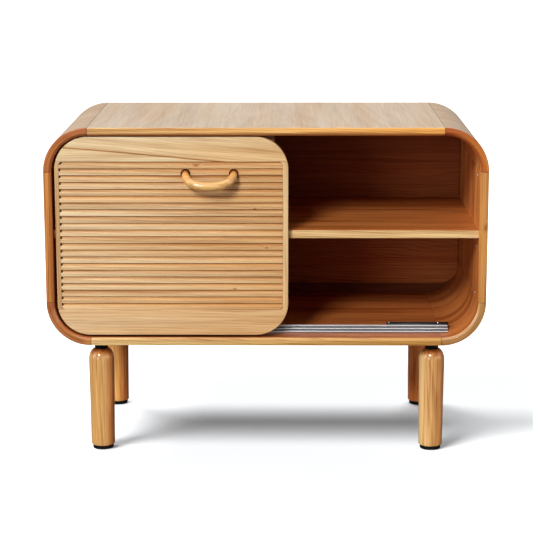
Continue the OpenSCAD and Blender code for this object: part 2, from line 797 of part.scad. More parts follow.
// Behind each foot the path goes straight back: the foot ends on its seat, the tenon on the backing
foot_end = [0, ferrule_t - glue_gap, 0];
tenon_end = [0, backing_y - glue_gap - door_recess, 0];
foot_start = bow_point(0);
foot_last = bow_point(180);
bow_path = concat(
    [foot_start + tenon_end, foot_start + foot_end, foot_start + foot_end],
    [for (i = [0 : handle_steps]) bow_point(i * 180 / handle_steps)],
    [foot_last + foot_end, foot_last + foot_end, foot_last + tenon_end]
);
bow_radii = concat(
    [tenon_r, tenon_r, handle_foot_r],
    [for (i = [0 : handle_steps]) bow_radius(i * 180 / handle_steps)],
    [handle_foot_r, tenon_r, tenon_r]
);

function unit(v) = v / norm(v);
function path_way(i) =
    let (n = len(bow_path) - 1)
    i == 0 || i == n ? (i == 0 ? [0, -1, 0] : [0, 1, 0]) : unit(bow_path[i + 1] - bow_path[i - 1]);

// Each ring of the rod is a circle square to the centre line
function ring(i) =
    let (t = path_way(i), tilt = [0, -handle_drop, handle_out], u = unit(cross(tilt, t)), v = cross(t, u))
    [for (j = [0 : handle_sides - 1])
        let (q = 360 * j / handle_sides)
        bow_path[i] + bow_radii[i] * (cos(q) * u + sin(q) * v)];

module bow() {
    rings = len(bow_path);
    m = handle_sides;
    points = [for (i = [0 : rings - 1]) each ring(i)];
    sides = [for (i = [0 : rings - 2], j = [0 : m - 1])
        let (a = i * m + j, b = i * m + (j + 1) % m)
        each [[a, b, b + m], [a, b + m, a + m]]];
    caps = [[for (j = [m - 1 : -1 : 0]) j], [for (j = [0 : m - 1]) (rings - 1) * m + j]];
    polyhedron(points = points, faces = concat(sides, caps), convexity = 4);
}

// The bow with a hole in each tenon for the screw from behind
module handle() color(handle_colour) in_place() difference() {
    bow();
    at_feet() rod_y(0, 0, screw_r + glue_gap / 2, backing_y - tenon_hole, backing_y + 1);
}

module handle_ferrules() color(dark_bronze) in_place() at_feet() difference() {
    rod_y(0, 0, ferrule_r, door_recess - ferrule_proud, door_recess + ferrule_t);
    rod_y(0, 0, handle_foot_r + glue_gap, door_recess - 1, door_recess + ferrule_t + 1);
}

// ---------- rollers and carriages ----------

// One carriage, for the right roller: plate on the door, arm, two cheeks and the blade
module carriage(x) difference() {
    c = rib_mid_c;
    blade_x1 = x + cheek_half_w + blade_out;
    union() {
        box(x - carriage_w / 2, x + carriage_w / 2, door_back_y, door_back_y + carriage_t,
            plate_z0, plate_z0 + carriage_h);
        box(x - cheek_half_w, x + cheek_half_w, door_back_y, c + cheek_gap + carriage_t, arm_z0, arm_z1);
        for (y = [c - cheek_gap - carriage_t, c + cheek_gap])
            box(x - cheek_half_w, x + cheek_half_w, y, y + carriage_t, cheek_z0, arm_z1);
        box(x, blade_x1, c + cheek_gap, slot_c + blade_t / 2, arm_z0, arm_z1);
        box(blade_x1 - blade_w, blade_x1, slot_c - blade_t / 2, slot_c + blade_t / 2, blade_z0, arm_z1);
    }
    rod_y(x, roller_z, pin_r + glue_gap / 2, c - cheek_gap - carriage_t - 1, c + cheek_gap + carriage_t + 1);
    for (dx = [-1, 1], z = plate_screw_z)
        rod_y(x + dx * plate_screw_x, z, screw_r + glue_gap, door_back_y - 1, door_back_y + carriage_t + 1);
}

module carriages() color(black_colour) in_place() {
    carriage(roller_x[1]);
    mirror_on_door() carriage(roller_x[1]);
}

module roller_pins() color(steel_colour) in_place() for (x = roller_x)
    rod_y(x, roller_z, pin_r, rib_mid_c - cheek_gap - carriage_t, rib_mid_c + cheek_gap + carriage_t);

// A grooved roller: the groove straddles the track's middle rib
module roller(x) color(nylon_colour) in_place() translate([x, rib_mid_c, roller_z]) rotate([90, 0, 0])
    rotate_extrude() {
        g = rib_w / 2 + slide_gap;
        bore = pin_r + run_gap;
        h = roller_w / 2;
        polygon([[bore, -h], [roller_r, -h], [roller_r, -g - 0.3], [roller_tread_r, -g], [roller_tread_r, g],
            [roller_r, g + 0.3], [roller_r, h], [bore, h]]);
    }

// A screw along Y: its head stands on the plane y and its shank points to the front
module screw_front(y, shank) translate([0, y, 0]) rotate([-90, 0, 0]) screw_down(shank, screw_head_r);

module door_screws() color(steel_colour) in_place() {
    for (x = roller_x, dx = [-1, 1], z = plate_screw_z) translate([x + dx * plate_screw_x, 0, z])
        screw_front(door_back_y + carriage_t, carriage_t + screw_bite - screw_tip);
    for (x = guide_screw_x) translate([x, 0, guide_screw_z])
        screw_front(door_back_y + rail_t, rail_t + screw_bite - screw_tip);
    at_feet() screw_front(door_back_y, backing_t + tenon_hole - screw_tip);
}

// ---------- the assembly ----------

top_panel();
bottom_panel();
left_panel();
right_panel();
corner(1, 0);  // corner_top_left
corner(0, 0);  // corner_top_right
corner(1, 1);  // corner_bottom_left
corner(0, 1);  // corner_bottom_right
back_panel();
corner_splines();
shelf();
wall_studs();
leg(-1, -1);  // leg_front_left
leg(1, -1);  // leg_front_right
leg(-1, 1);  // leg_back_left
leg(1, 1);  // leg_back_right
leg_collars();
leg_studs();
foot_pads();
floor_track();
left_stop();
guide_block();
damper_housing();
case_screws();
damper_catch();
door_top_rail();
door_bottom_rail();
door_left_stile();
door_right_stile();
door_backing();
handle();
handle_ferrules();
guide_rail();
carriages();
roller_pins();
door_screws();
roller(roller_x[0]);  // roller_left
roller(roller_x[1]);  // roller_right
for (k = [0 : slat_count - 1]) slat(k);
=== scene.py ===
"""Finish of a low bedside table: a wooden case with round corners on turned legs, and a
slatted door that slides in front of a shelf. Metres; X to the right, front towards -Y, Z up."""
import math

import bmesh
import bpy
import numpy as np
from mathutils import Matrix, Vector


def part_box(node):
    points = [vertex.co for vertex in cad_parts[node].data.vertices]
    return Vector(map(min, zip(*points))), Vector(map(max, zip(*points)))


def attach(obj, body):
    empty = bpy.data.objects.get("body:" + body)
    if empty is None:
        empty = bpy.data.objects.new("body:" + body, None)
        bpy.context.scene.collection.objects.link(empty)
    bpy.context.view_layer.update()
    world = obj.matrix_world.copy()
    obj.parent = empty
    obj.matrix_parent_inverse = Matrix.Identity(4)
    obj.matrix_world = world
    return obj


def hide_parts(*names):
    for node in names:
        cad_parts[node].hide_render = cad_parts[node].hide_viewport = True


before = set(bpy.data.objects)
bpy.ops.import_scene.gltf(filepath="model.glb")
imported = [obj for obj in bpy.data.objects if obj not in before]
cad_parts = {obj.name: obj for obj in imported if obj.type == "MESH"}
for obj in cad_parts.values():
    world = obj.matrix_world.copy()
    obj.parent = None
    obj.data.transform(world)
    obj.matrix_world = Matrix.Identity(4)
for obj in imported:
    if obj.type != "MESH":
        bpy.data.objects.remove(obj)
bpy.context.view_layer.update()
MM = 0.001
QUARTER_TURN = math.pi / 2
chance = np.random.default_rng(11)


# ---------- places, read from the frame ----------

def corners_of(node):
    """The lowest and highest corner of a construction node, as arrays."""
    low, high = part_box(node)
    return np.array(low), np.array(high)


def solids(node):
    """The lowest and highest corner of each separate solid in a node. Every point takes the
    least label among the points that it shares a triangle with, until no label changes."""
    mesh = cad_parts[node].data
    points = np.empty(len(mesh.vertices) * 3, np.float32)
    mesh.vertices.foreach_get("co", points)
    points = points.reshape(-1, 3)
    triangles = np.empty(len(mesh.loops), np.int32)
    mesh.loops.foreach_get("vertex_index", triangles)
    merged = np.unique(np.round(points * 1e6).astype(np.int64), axis=0, return_inverse=True)[1].reshape(-1)
    triangles = merged[triangles].reshape(-1, 3)
    label = np.arange(merged.max() + 1)
    while True:
        lower = label.copy()
        np.minimum.at(lower, triangles, label[triangles].min(1)[:, None])
        lower = lower[lower]
        if (lower == label).all():
            break
        label = lower
    owner = label[merged]
    return [(points[owner == g].min(0), points[owner == g].max(0)) for g in np.unique(owner)]


TOP_LOW, TOP_HIGH = corners_of("top_panel")
BOTTOM_LOW, BOTTOM_HIGH = corners_of("bottom_panel")
SIDE_LOW, SIDE_HIGH = corners_of("right_panel")
front, back = TOP_LOW[1], TOP_HIGH[1]
ceiling, roof = TOP_LOW[2], TOP_HIGH[2]
underside, case_floor = BOTTOM_LOW[2], BOTTOM_HIGH[2]
board = roof - ceiling
wall = SIDE_LOW[0]
seam_x, seam_low, seam_high = TOP_HIGH[0], SIDE_LOW[2], SIDE_HIGH[2]
corner_inner = wall - seam_x

DOOR_LOW, DOOR_HIGH = corners_of("door_backing")
RAIL_LOW = corners_of("door_top_rail")[0]
door_face, slats_back, slats_top = RAIL_LOW[1], DOOR_LOW[1], RAIL_LOW[2]
slats_bottom = corners_of("door_bottom_rail")[1][2]
# The door's corners are a little tighter than the solid's, and its left edge stands further in
TIGHTER, FURTHER_IN = 2.5 * MM, 2 * MM
door_round = corner_inner - (DOOR_LOW[0] + wall) - TIGHTER
door_left = DOOR_LOW[0] + FURTHER_IN


# ---------- surfaces ----------

def unit(v):
    v = np.asarray(v, float)
    return v / np.linalg.norm(v, axis=-1, keepdims=True)


def square_to(axis):
    """An axis of length one, and two more that are square to it and to each other."""
    axis = unit(axis)
    across = unit(np.cross(axis, (0, 1, 0) if abs(axis[1]) < 0.9 else (1, 0, 0)))
    return axis, across, np.cross(axis, across)


def rectangle(x0, y0, x1, y1):
    return [(x0, y0), (x1, y0), (x1, y1), (x0, y1)]


def soft_corners(corners, radii, steps=5):
    """An outline whose corners are arcs. An arc's centre lies on the corner's bisector, r over
    the sine of half the angle away, and its points are r times a direction that turns evenly
    from one side's foot to the other's."""
    p = np.asarray(corners, float)
    r = np.broadcast_to(np.asarray(radii, float), len(p))[:, None]
    to_last, to_next = unit(np.roll(p, 1, 0) - p), unit(np.roll(p, -1, 0) - p)
    half = np.arccos(np.clip((to_last * to_next).sum(1, keepdims=True), -1, 1)) / 2
    centre = p + unit(to_last + to_next) * r / np.sin(half)
    reach = r / np.tan(half)
    first, last = p + to_last * reach - centre, p + to_next * reach - centre
    share = np.linspace(0, 1, steps)[None, :, None]
    turn = unit((1 - share) * first[:, None] + share * last[:, None]) * r[:, None]
    return (centre[:, None] + turn).reshape(-1, 2)


def mitres(outline):
    """For each point of a closed outline the way inwards that moves both its sides by one: the
    sum of their inward normals over one plus the cosine between them."""
    ahead = unit(np.roll(outline, -1, 0) - outline)
    behind = np.roll(ahead, 1, 0)
    x, y = outline.T
    turn = np.sign((x * np.roll(y, -1) - np.roll(x, -1) * y).sum())
    n0 = turn * np.stack([-behind[:, 1], behind[:, 0]], 1)
    n1 = turn * np.stack([-ahead[:, 1], ahead[:, 0]], 1)
    return (n0 + n1) / (1 + (n0 * n1).sum(1, keepdims=True))


def edge_levels(low, high, radius, steps=4):
    """Depths and insets of a plate's rings: a quarter round of the given radius at both faces."""
    a = np.linspace(0, QUARTER_TURN, steps)
    drop, draw = radius * (1 - np.cos(a)), radius * (1 - np.sin(a))
    return np.concatenate([low + drop, high - drop[::-1]]), np.concatenate([draw, draw[::-1]])


def layered(outline, depths, draws):
    """Rings of an upright outline in (x, z): one at each depth, drawn in by its inset."""
    flat = outline[None] + mitres(outline)[None] * draws[:, None, None]
    return np.stack([flat[..., 0], np.broadcast_to(depths[:, None], flat.shape[:2]), flat[..., 1]], -1)


def plate_rings(outline, low, high, radius):
    """Rings of an upright plate between two depths, with rounded edges at both faces."""
    return layered(outline, *edge_levels(low, high, radius))


def bar_rings(section, left, right, bevel):
    """Rings of a bar: its section in (y, z) at four places between left and right, which may
    differ for each point of the section, and drawn in by the bevel at both ends."""
    left, right = np.broadcast_to(left, len(section)), np.broadcast_to(right, len(section))
    along = np.stack([left, left + bevel, right - bevel, right])
    draws = np.array([bevel, 0, 0, bevel])[:, None, None]
    flat = section[None] + mitres(section)[None] * draws
    return np.stack([along, flat[..., 0], flat[..., 1]], -1)


def lathe_rings(profile, centre, axis=(0, 0, 1), sides=48):
    """Rings of a turned piece: each (radius, height) of the profile becomes a circle round the
    axis, at that height from the centre."""
    axis, across, other = square_to(axis)
    q = np.linspace(0, 2 * math.pi, sides, endpoint=False)
    circle = np.cos(q)[:, None] * across + np.sin(q)[:, None] * other
    profile = np.asarray(profile, float)
    return np.asarray(centre) + profile[:, None, :1] * circle + profile[:, None, 1:] * axis


def quarter(r0, r1, z0, z1, steps):
    """A quarter ellipse from (r0, z0), level, to (r1, z1), upright."""
    a = np.linspace(0, QUARTER_TURN, steps)
    return np.stack([r0 + (r1 - r0) * np.sin(a), z1 + (z0 - z1) * np.cos(a)], 1)


def skin(rings, ends="face", closed=False):
    """Points and faces of a closed surface over rings of points. Quads join each ring to the
    next; the ends are one flat face each, or a fan to the ring's middle."""
    rows, columns = rings.shape[:2]
    points = [rings.reshape(-1, 3)]
    row = np.arange(rows if closed else rows - 1)[:, None]
    column = np.arange(columns)[None]
    beside = (column + 1) % columns
    above = (row + 1) % rows
    quads = np.stack(np.broadcast_arrays(row * columns + column, row * columns + beside,
                                         above * columns + beside, above * columns + column), -1)
    faces = quads.reshape(-1, 4).tolist()
    if not closed:
        for number, start in enumerate((0, (rows - 1) * columns)):
            ring = start + np.arange(columns)
            if ends == "face":
                faces.append(ring.tolist())
            else:
                middle = rows * columns + number
                points.append(points[0][ring].mean(0, keepdims=True))
                faces += np.stack([ring, np.roll(ring, -1), np.full(columns, middle)], 1).tolist()
    return np.concatenate(points), faces


def joined(parts):
    """Several surfaces as one list of points and one of faces."""
    points, faces, start = [], [], 0
    for part_points, part_faces in parts:
        points.append(part_points)
        faces += [[start + i for i in face] for face in part_faces]
        start += len(part_points)
    return np.concatenate(points), faces


# ---------- pieces ----------

NO_KNOT = (99.0, 99.0, 99.0)


def in_scene(name, data):
    made = bpy.data.objects.new(name, data)
    bpy.context.scene.collection.objects.link(made)
    return made


def reworked(mesh, change):
    """Lets a change work on an editable copy of the mesh, and shades the mesh smooth."""
    work = bmesh.new()
    work.from_mesh(mesh)
    change(work)
    work.to_mesh(mesh)
    work.free()
    mesh.shade_smooth()


def place_piece(name, mesh, material, body, node):
    """Puts a piece in place of a node, with the given material, on its body."""
    mesh.materials.clear()
    mesh.materials.append(material)
    piece = in_scene(name, mesh)
    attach(piece, body)
    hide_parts(node)
    return piece


def make_piece(node, surface, material, body, slot=None, name=None, flat_faces=True, **values):
    """A finished piece in place of a construction node. Each extra argument becomes an attribute
    of that name: three numbers, or a function that gives them for the piece's points."""
    points, faces = surface
    name = (name or node) + "_finish"
    mesh = bpy.data.meshes.new(name)
    mesh.from_pydata(points.tolist(), [], faces)
    reworked(mesh, lambda work: bmesh.ops.recalc_face_normals(work, faces=work.faces))
    mesh.set_sharp_from_angle(angle=math.radians(50))
    for place, knot in (("grain", "knot"), ("edge_grain", "edge_knot")):
        if place in values:
            values.setdefault(knot, NO_KNOT)
    for attribute, value in values.items():
        value = np.broadcast_to(value(points) if callable(value) else value, points.shape)
        given = mesh.attributes.new(attribute, "FLOAT_VECTOR", "POINT")
        given.data.foreach_set("vector", np.ascontiguousarray(value, np.float32).ravel())
    piece = place_piece(name, mesh, material, body, node)
    if flat_faces:
        piece.modifiers.new("flat faces", "WEIGHTED_NORMAL").keep_sharp = True


def eased_copy(node, material, body, bevel):
    """A construction node's own shape with its sharp edges eased."""
    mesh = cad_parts[node].data.copy()
    reworked(mesh, lambda work: bmesh.ops.remove_doubles(work, verts=work.verts, dist=1e-6))
    piece = place_piece(node + "_finish", mesh, material, body, node)
    ease = piece.modifiers.new("eased edges", "BEVEL")
    ease.width, ease.segments, ease.limit_method = bevel, 2, "ANGLE"
    ease.angle_limit = math.radians(40)
    ease.harden_normals = True


# ---------- shader tools ----------

class Graph:
    """Short forms for wiring one node tree. An input is a number, a tuple or another socket."""

    def __init__(self, tree):
        self.tree = tree
        tree.nodes.clear()

    def feed(self, socket, value):
        if isinstance(value, bpy.types.NodeSocket):
            self.tree.links.new(value, socket)
        else:
            socket.default_value = (*value, 1.0) if socket.type == "RGBA" else value

    def node(self, kind, inputs=(), **settings):
        """A new node. Its inputs are given by name or by number."""
        node = self.tree.nodes.new(kind)
        for key, value in settings.items():
            setattr(node, key, value)
        for key, value in dict(inputs).items():
            self.feed(node.inputs[key], value)
        return node

    def math(self, operation, *inputs):
        return self.node("ShaderNodeMath", enumerate(inputs), operation=operation).outputs[0]

    def add(self, a, b):
        return self.math("ADD", a, b)

    def less(self, a, b):
        return self.math("SUBTRACT", a, b)

    def times(self, a, b):
        return self.math("MULTIPLY", a, b)

    def vector(self, operation, *inputs):
        outputs = self.node("ShaderNodeVectorMath", enumerate(inputs), operation=operation).outputs
        return outputs["Value" if operation == "LENGTH" else "Vector"]

    def scaled(self, vector, factor):
        inputs = {0: vector, "Scale": factor}
        return self.node("ShaderNodeVectorMath", inputs, operation="SCALE").outputs["Vector"]

    def parts(self, vector):
        return self.node("ShaderNodeSeparateXYZ", {0: vector}).outputs

    def together(self, *inputs):
        return self.node("ShaderNodeCombineXYZ", enumerate(inputs)).outputs[0]

    def read(self, attribute):
        return self.node("ShaderNodeAttribute", attribute_name=attribute).outputs["Vector"]

    def noise(self, place, stretch, detail=2.0, roughness=0.5, output="Fac"):
        inputs = {"Vector": self.vector("MULTIPLY", place, stretch), "Scale": 1.0, "Detail": detail,
                  "Roughness": roughness}
        return self.node("ShaderNodeTexNoise", inputs).outputs[output]

    def smooth(self, value, low, high):
        inputs = {"Value": value, "From Min": low, "From Max": high}
        return self.node("ShaderNodeMapRange", inputs, interpolation_type="SMOOTHSTEP").outputs["Result"]

    def curve(self, value, stops):
        node = self.node("ShaderNodeValToRGB", {0: value})
        ramp = node.color_ramp
        ramp.interpolation = "B_SPLINE"
        while len(ramp.elements) < len(stops):
            ramp.elements.new(0.5)
        for element, (position, shade) in zip(ramp.elements, stops):
            element.position = position
            element.color = (shade, shade, shade, 1)
        return node.outputs[0]

    def mix(self, share, a, b, blend="MIX"):
        return self.node("ShaderNodeMix", {0: share, 6: a, 7: b}, data_type="RGBA", blend_type=blend,
                         clamp_factor=True).outputs[2]

    def tint(self, a, b):
        return self.mix(1.0, a, b, "MULTIPLY")

    def bump(self, strength, distance, height):
        inputs = {"Strength": strength, "Distance": distance, "Height": height}
        return self.node("ShaderNodeBump", inputs).outputs[0]

    def group(self, tree, **inputs):
        named = {key.replace("_", " ").title(): value for key, value in inputs.items()}
        return self.node("ShaderNodeGroup", named, node_tree=tree).outputs

    def surface(self, inputs):
        """The shader with its inputs, as the material's surface."""
        shader = self.node("ShaderNodeBsdfPrincipled", inputs)
        self.node("ShaderNodeOutputMaterial", {"Surface": shader.outputs["BSDF"]})


def new_group(name, inputs, outputs):
    """An empty shader group, from the defaults of its inputs and the kinds of its outputs."""
    tree = bpy.data.node_groups.new(name, "ShaderNodeTree")
    for socket, value in inputs.items():
        kind = {3: "Vector", 4: "Color"}[len(value)] if isinstance(value, tuple) else "Float"
        made = tree.interface.new_socket(socket, in_out="INPUT", socket_type="NodeSocket" + kind)
        made.default_value = value
    for socket, kind in outputs.items():
        tree.interface.new_socket(socket, in_out="OUTPUT", socket_type="NodeSocket" + kind)
    graph = Graph(tree)
    return tree, graph, graph.node("NodeGroupInput").outputs, graph.node("NodeGroupOutput").inputs


def new_material(name):
    material = bpy.data.materials.new(name)
    material.use_nodes = True
    return material, Graph(material.node_tree)


# What a wood's mean colour is multiplied by where it is pale, dark or warm, in pores and round a
# knot, and the colour of the knot itself
PALE, DARK, WARM = (1.12, 1.19, 1.26), (0.58, 0.42, 0.30), (1.0, 0.93, 0.84)
PORE, HALO, KNOT = (0.55, 0.40, 0.28), (0.72, 0.50, 0.36), (0.24, 0.085, 0.025)
# How dark a year ring is along its width, from the early wood to the sharp end of the late wood
RING = [(0.0, 0.0), (0.45, 0.12), (0.82, 1.0), (0.92, 0.8), (1.0, 0.0)]
MEAN_DARKNESS = 0.3


def timber_group():
    """Timber with its fibres along X, round a mean colour. The year rings are circles round the X
    axis, pushed about by slow noise and round a knot; each ring darkens slowly and ends sharply.
    Streaks and fibres are noise stretched along X, and slow noise makes the wood warmer here and
    there. Knot Way is the way from the knot's middle, in knot sizes."""
    tree, g, given, made = new_group("timber", {
        "Place": (0, 0, 0), "Knot Way": NO_KNOT, "Tone": (0.6, 0.35, 0.15, 1.0), "Ring Width": 0.004,
        "Rings": 0.4, "Streaks": 0.5, "Fibres": 0.4, "Bands": 0.2, "Wander": 0.006, "Taper": 0.03,
    }, {"Color": "Color", "Roughness": "Float", "Height": "Float"})
    place = given["Place"]

    def layer(stretch, low, high, *fineness):
        return g.smooth(g.noise(place, stretch, *fineness), low, high)

    push = g.vector("SUBTRACT", g.noise(place, (2.5, 14, 14), output="Color"), (0.5, 0.5, 0.5))
    moved = g.parts(g.vector("ADD", place, g.scaled(push, given["Wander"])))
    knot_far = g.vector("LENGTH", g.vector("MULTIPLY", given["Knot Way"], (0.5, 1, 1)))
    parting = g.times(g.math("EXPONENT", g.times(knot_far, -0.4)), 2.5)
    radius = g.math("SQRT", g.add(g.times(moved["Y"], moved["Y"]), g.times(moved["Z"], moved["Z"])))
    radius = g.add(radius, g.times(moved["X"], given["Taper"]))
    rings = g.math("DIVIDE", radius, given["Ring Width"])
    uneven = g.noise(g.together(0.0, 0.0, rings), (1, 1, 0.33), 1.0)
    rings = g.add(g.add(rings, g.times(uneven, 1.6)), parting)
    late = g.curve(g.math("FRACT", rings), RING)
    year = g.noise(g.together(0.0, 0.0, g.math("FLOOR", rings)), (1, 1, 7.3), 0.0)
    streaks = layer((3.4, 140, 140), 0.3, 0.7, 2.0, 0.55)
    fibres = layer((9, 430, 430), 0.28, 0.72, 3.0, 0.6)
    bands = layer((1.4, 34, 34), 0.3, 0.7)
    pores = layer((38, 1500, 1500), 0.66, 0.74, 1.0)
    warm = layer((1.7, 30, 30), 0.38, 0.66, 1.0)
    fine = g.noise(place, (30, 1900, 1900))
    blotch = g.noise(place, (2.0, 12, 12))
    late_share = g.times(late, g.add(g.times(year, 1.3), 0.2))
    darkness = g.add(g.times(g.less(late_share, MEAN_DARKNESS), given["Rings"]), MEAN_DARKNESS)
    for value, amount in ((streaks, given["Streaks"]), (fibres, given["Fibres"]), (bands, given["Bands"]),
                          (fine, 0.25), (blotch, 0.5)):
        darkness = g.add(darkness, g.times(g.less(value, 0.5), amount))
    shade = g.mix(darkness, PALE, DARK)
    shade = g.mix(warm, shade, g.tint(shade, WARM))
    shade = g.mix(g.times(pores, 0.35), shade, PORE)
    wood = g.tint(given["Tone"], shade)
    halo = g.less(1.0, g.smooth(knot_far, 0.8, 2.6))
    wood = g.mix(g.times(halo, 0.6), wood, g.tint(wood, HALO))
    core = g.less(1.0, g.smooth(knot_far, 0.4, 1.1))
    g.feed(made["Color"], g.mix(g.times(core, 0.8), wood, KNOT))
    g.feed(made["Roughness"], g.add(g.times(fibres, 0.10), g.times(pores, 0.15)))
    height = g.less(g.times(fine, 0.3), g.times(pores, 0.7))
    g.feed(made["Height"], g.less(height, g.times(late, 0.25)))
    return tree


def grain_group():
    """Fine even grain for plastic, rubber and metal: noise at one scale, with a slow second
    noise for handling marks. Stretch makes it brushed."""
    tree, g, given, made = new_group("fine grain", {"Stretch": (1500, 1500, 1500), "Marks": 40.0},
                                     {"Grain": "Float", "Marks": "Float"})
    place = g.node("ShaderNodeTexCoord").outputs["Object"]
    g.feed(made["Grain"], g.noise(place, given["Stretch"]))
    g.feed(made["Marks"], g.noise(g.scaled(place, given["Marks"]), (1, 1, 1), 3.0))
    return tree


TIMBER = timber_group()
GRAIN = grain_group()
# How many times glossier a lip is than the board behind it
LIP_GLOSS = 4.0
# What the wood's colour is multiplied by along a seam and along the glue joint
SEAM_SHADE, JOINT_SHADE = (0.34, 0.18, 0.10), (0.55, 0.34, 0.18)
# The glue joint of the door's top rail, and how much its upper board's grain slants
JOINT_RISE = 24.6 * MM
JOINT_SLOPE, JOINT_BEND, GRAIN_SLOPE = 0.080, 0.035, 0.075
JOINT_LINE, JOINT_WAVE = (0.4 * MM, 1.8 * MM), 2.2 * MM
# The mean share that the fibres and pores add to the wood's roughness
MEAN_ROUGH = 0.08
# Depths over which a lip ends, and thicknesses over which a lining ends and the coat starts
LIP_END, LINING_END, COAT_START = (1.3 * MM, 1.6 * MM), (0.1 * MM, 0.4 * MM), (0.2 * MM, 1.2 * MM)


def timber_material(name, look, gloss=0.38, shine=0.3, coat=0.08, coat_gloss=0.24, lip=None, lining=None,
                    joint=False):
    """Lacquered timber. A lip is the strip along the front edge, whose fibres run along the edge;
    a lining is the redder wood of the inner faces. Both meet the outer wood at lines of the
    attribute spot: seam distance, depth from the front, thickness from the inside.
    A joint is a thin dark line with other wood above it, whose grain slants. It stands the rise
    over the slats at the door's left end, and falls with x by x times (slope plus bend times x)."""
    material, g = new_material(name)
    place = g.read("grain")
    if joint:
        along, up, gate = g.parts(g.read("joint"))
        fall = g.add(JOINT_SLOPE, g.times(along, JOINT_BEND))
        way = g.add(g.less(up, JOINT_RISE), g.times(along, fall))
        wave = g.noise(place, (9, 60, 60))
        way = g.add(way, g.times(g.less(wave, 0.5), JOINT_WAVE))
        beyond = g.times(g.math("GREATER_THAN", way, 0.0), gate)
        other = g.together(0.83, g.add(g.times(along, GRAIN_SLOPE), 0.031), 0.022)
        place = g.vector("ADD", place, g.vector("MULTIPLY", g.together(beyond, beyond, beyond), other))
    wood = g.group(TIMBER, place=place, knot_way=g.read("knot"), tone=g.read("tone"), **look)
    tone, height = wood["Color"], wood["Height"]
    if joint:
        line = g.less(1.0, g.smooth(g.math("ABSOLUTE", way), *JOINT_LINE))
        tone = g.mix(g.times(line, gate), tone, g.tint(tone, JOINT_SHADE))
    if lip:
        seam, depth, thick = g.parts(g.read("spot"))
        strip = g.group(TIMBER, place=g.read("edge_grain"), knot_way=g.read("edge_knot"),
                        tone=g.read("lip_tone"), **lip)
        behind = g.smooth(depth, *LIP_END)
        tone, height = g.mix(behind, strip["Color"], tone), g.mix(behind, strip["Height"], height)
        beside = g.smooth(seam, 0.7, 0.98)
    if lining:
        inner = g.group(TIMBER, place=place, tone=g.read("inner_tone"), **lining)
        outside = g.smooth(thick, *LINING_END)
        tone, height = g.mix(outside, inner["Color"], tone), g.mix(outside, inner["Height"], height)
        beside = g.math("MAXIMUM", beside, g.less(1.0, outside))
        edge_gloss = g.less(LIP_GLOSS, g.times(behind, LIP_GLOSS - 1))
        coat = g.times(g.times(g.smooth(thick, *COAT_START), edge_gloss), coat)
    if lip:
        tone = g.mix(beside, g.tint(tone, SEAM_SHADE), tone)
    g.surface({"Base Color": tone, "Roughness": g.add(wood["Roughness"], gloss - MEAN_ROUGH),
               "Normal": g.bump(0.35, 0.15 * MM, height), "Coat Weight": coat,
               "Coat Roughness": coat_gloss, "Specular IOR Level": shine})
    return material


def grained_material(name, dark, pale, rough, metallic=0.0, stretch=(1500, 1500, 1500), marks=40.0,
                     relief=0.2, uneven=0.14, shine=0.5, toned=False):
    """Plastic, rubber or metal whose colour, gloss and surface follow a fine grain. A toned one
    is darkened by the piece's own attribute."""
    material, g = new_material(name)
    grain = g.group(GRAIN, stretch=stretch, marks=marks)
    tone = g.mix(g.smooth(grain["Marks"], 0.3, 0.7), dark, pale)
    if toned:
        tone = g.tint(tone, g.read("tone"))
    swing = g.times(g.add(grain["Grain"], grain["Marks"]), uneven)
    g.surface({"Base Color": tone, "Roughness": g.add(swing, rough - uneven),
               "Normal": g.bump(relief, 0.05 * MM, grain["Grain"]), "Metallic": metallic,
               "Specular IOR Level": shine})
    return material


# ---------- materials ----------

# How each wood is figured: how wide its rings are, how strong its rings, streaks, fibres and bands,
# and how far the rings wander and taper
TOP_LOOK = dict(ring_width=0.006, rings=0.16, streaks=0.12, fibres=0.18, wander=0.02)
LIP_LOOK = dict(ring_width=0.0035, rings=0.55, streaks=0.75, fibres=0.55, wander=0.010, taper=0.05)
INNER_LOOK = dict(ring_width=0.011, rings=0.42, streaks=0.75, fibres=0.55, bands=0.9, wander=0.04)
BACK_LOOK = dict(ring_width=0.005, rings=0.50, streaks=0.25, fibres=0.60, bands=0.2, wander=0.07, taper=0.06)
DOOR_LOOK = dict(ring_width=0.005, rings=0.30, streaks=0.45, fibres=0.35, wander=0.012)
RAIL_LOOK = dict(ring_width=0.004, rings=0.26, streaks=0.28, fibres=0.45, bands=0.1, wander=0.03, taper=0.03)
LEG_LOOK = dict(ring_width=0.0035, rings=0.36, streaks=0.55, fibres=0.45, bands=0.4, wander=0.008, taper=0.02)
HANDLE_LOOK = dict(ring_width=0.003, rings=0.40, streaks=0.5, fibres=0.4, wander=0.004)

# Mean colours of the woods; a pair is the first and the last of a change
TOP_TONE = (0.70, 0.53, 0.365)
TOP_CORNER_TONE = (0.60, 0.41, 0.25)
SIDE_TONE = (0.60, 0.37, 0.18)
INNER_TONE = (0.53, 0.175, 0.042)
FLOOR_TONE = (0.50, 0.155, 0.038)
# The right inner wall is lighter towards the top: painted light
WALL_PAINTED_LIGHT_TONES = (0.55, 0.18, 0.044), (0.90, 0.36, 0.10)
# The back panel's field darkens towards the top: painted shade
BACK_PAINTED_SHADE_TONES = (0.44, 0.13, 0.034), (0.22, 0.056, 0.014)
# The band round the field is darkened with painted shade
BAND_PAINTED_SHADE = (0.17, 0.042, 0.011)
SHELF_LIP = (0.71, 0.49, 0.24)
STILE_TONE = (0.66, 0.43, 0.21)
SLAT_TONES = (0.71, 0.515, 0.305), (0.61, 0.365, 0.165)
DOOR_BACK_TONE = (0.60, 0.33, 0.13)
HANDLE_TONES = (0.66, 0.36, 0.115), (0.50, 0.17, 0.035)
PLAIN = (1.0, 1.0, 1.0)

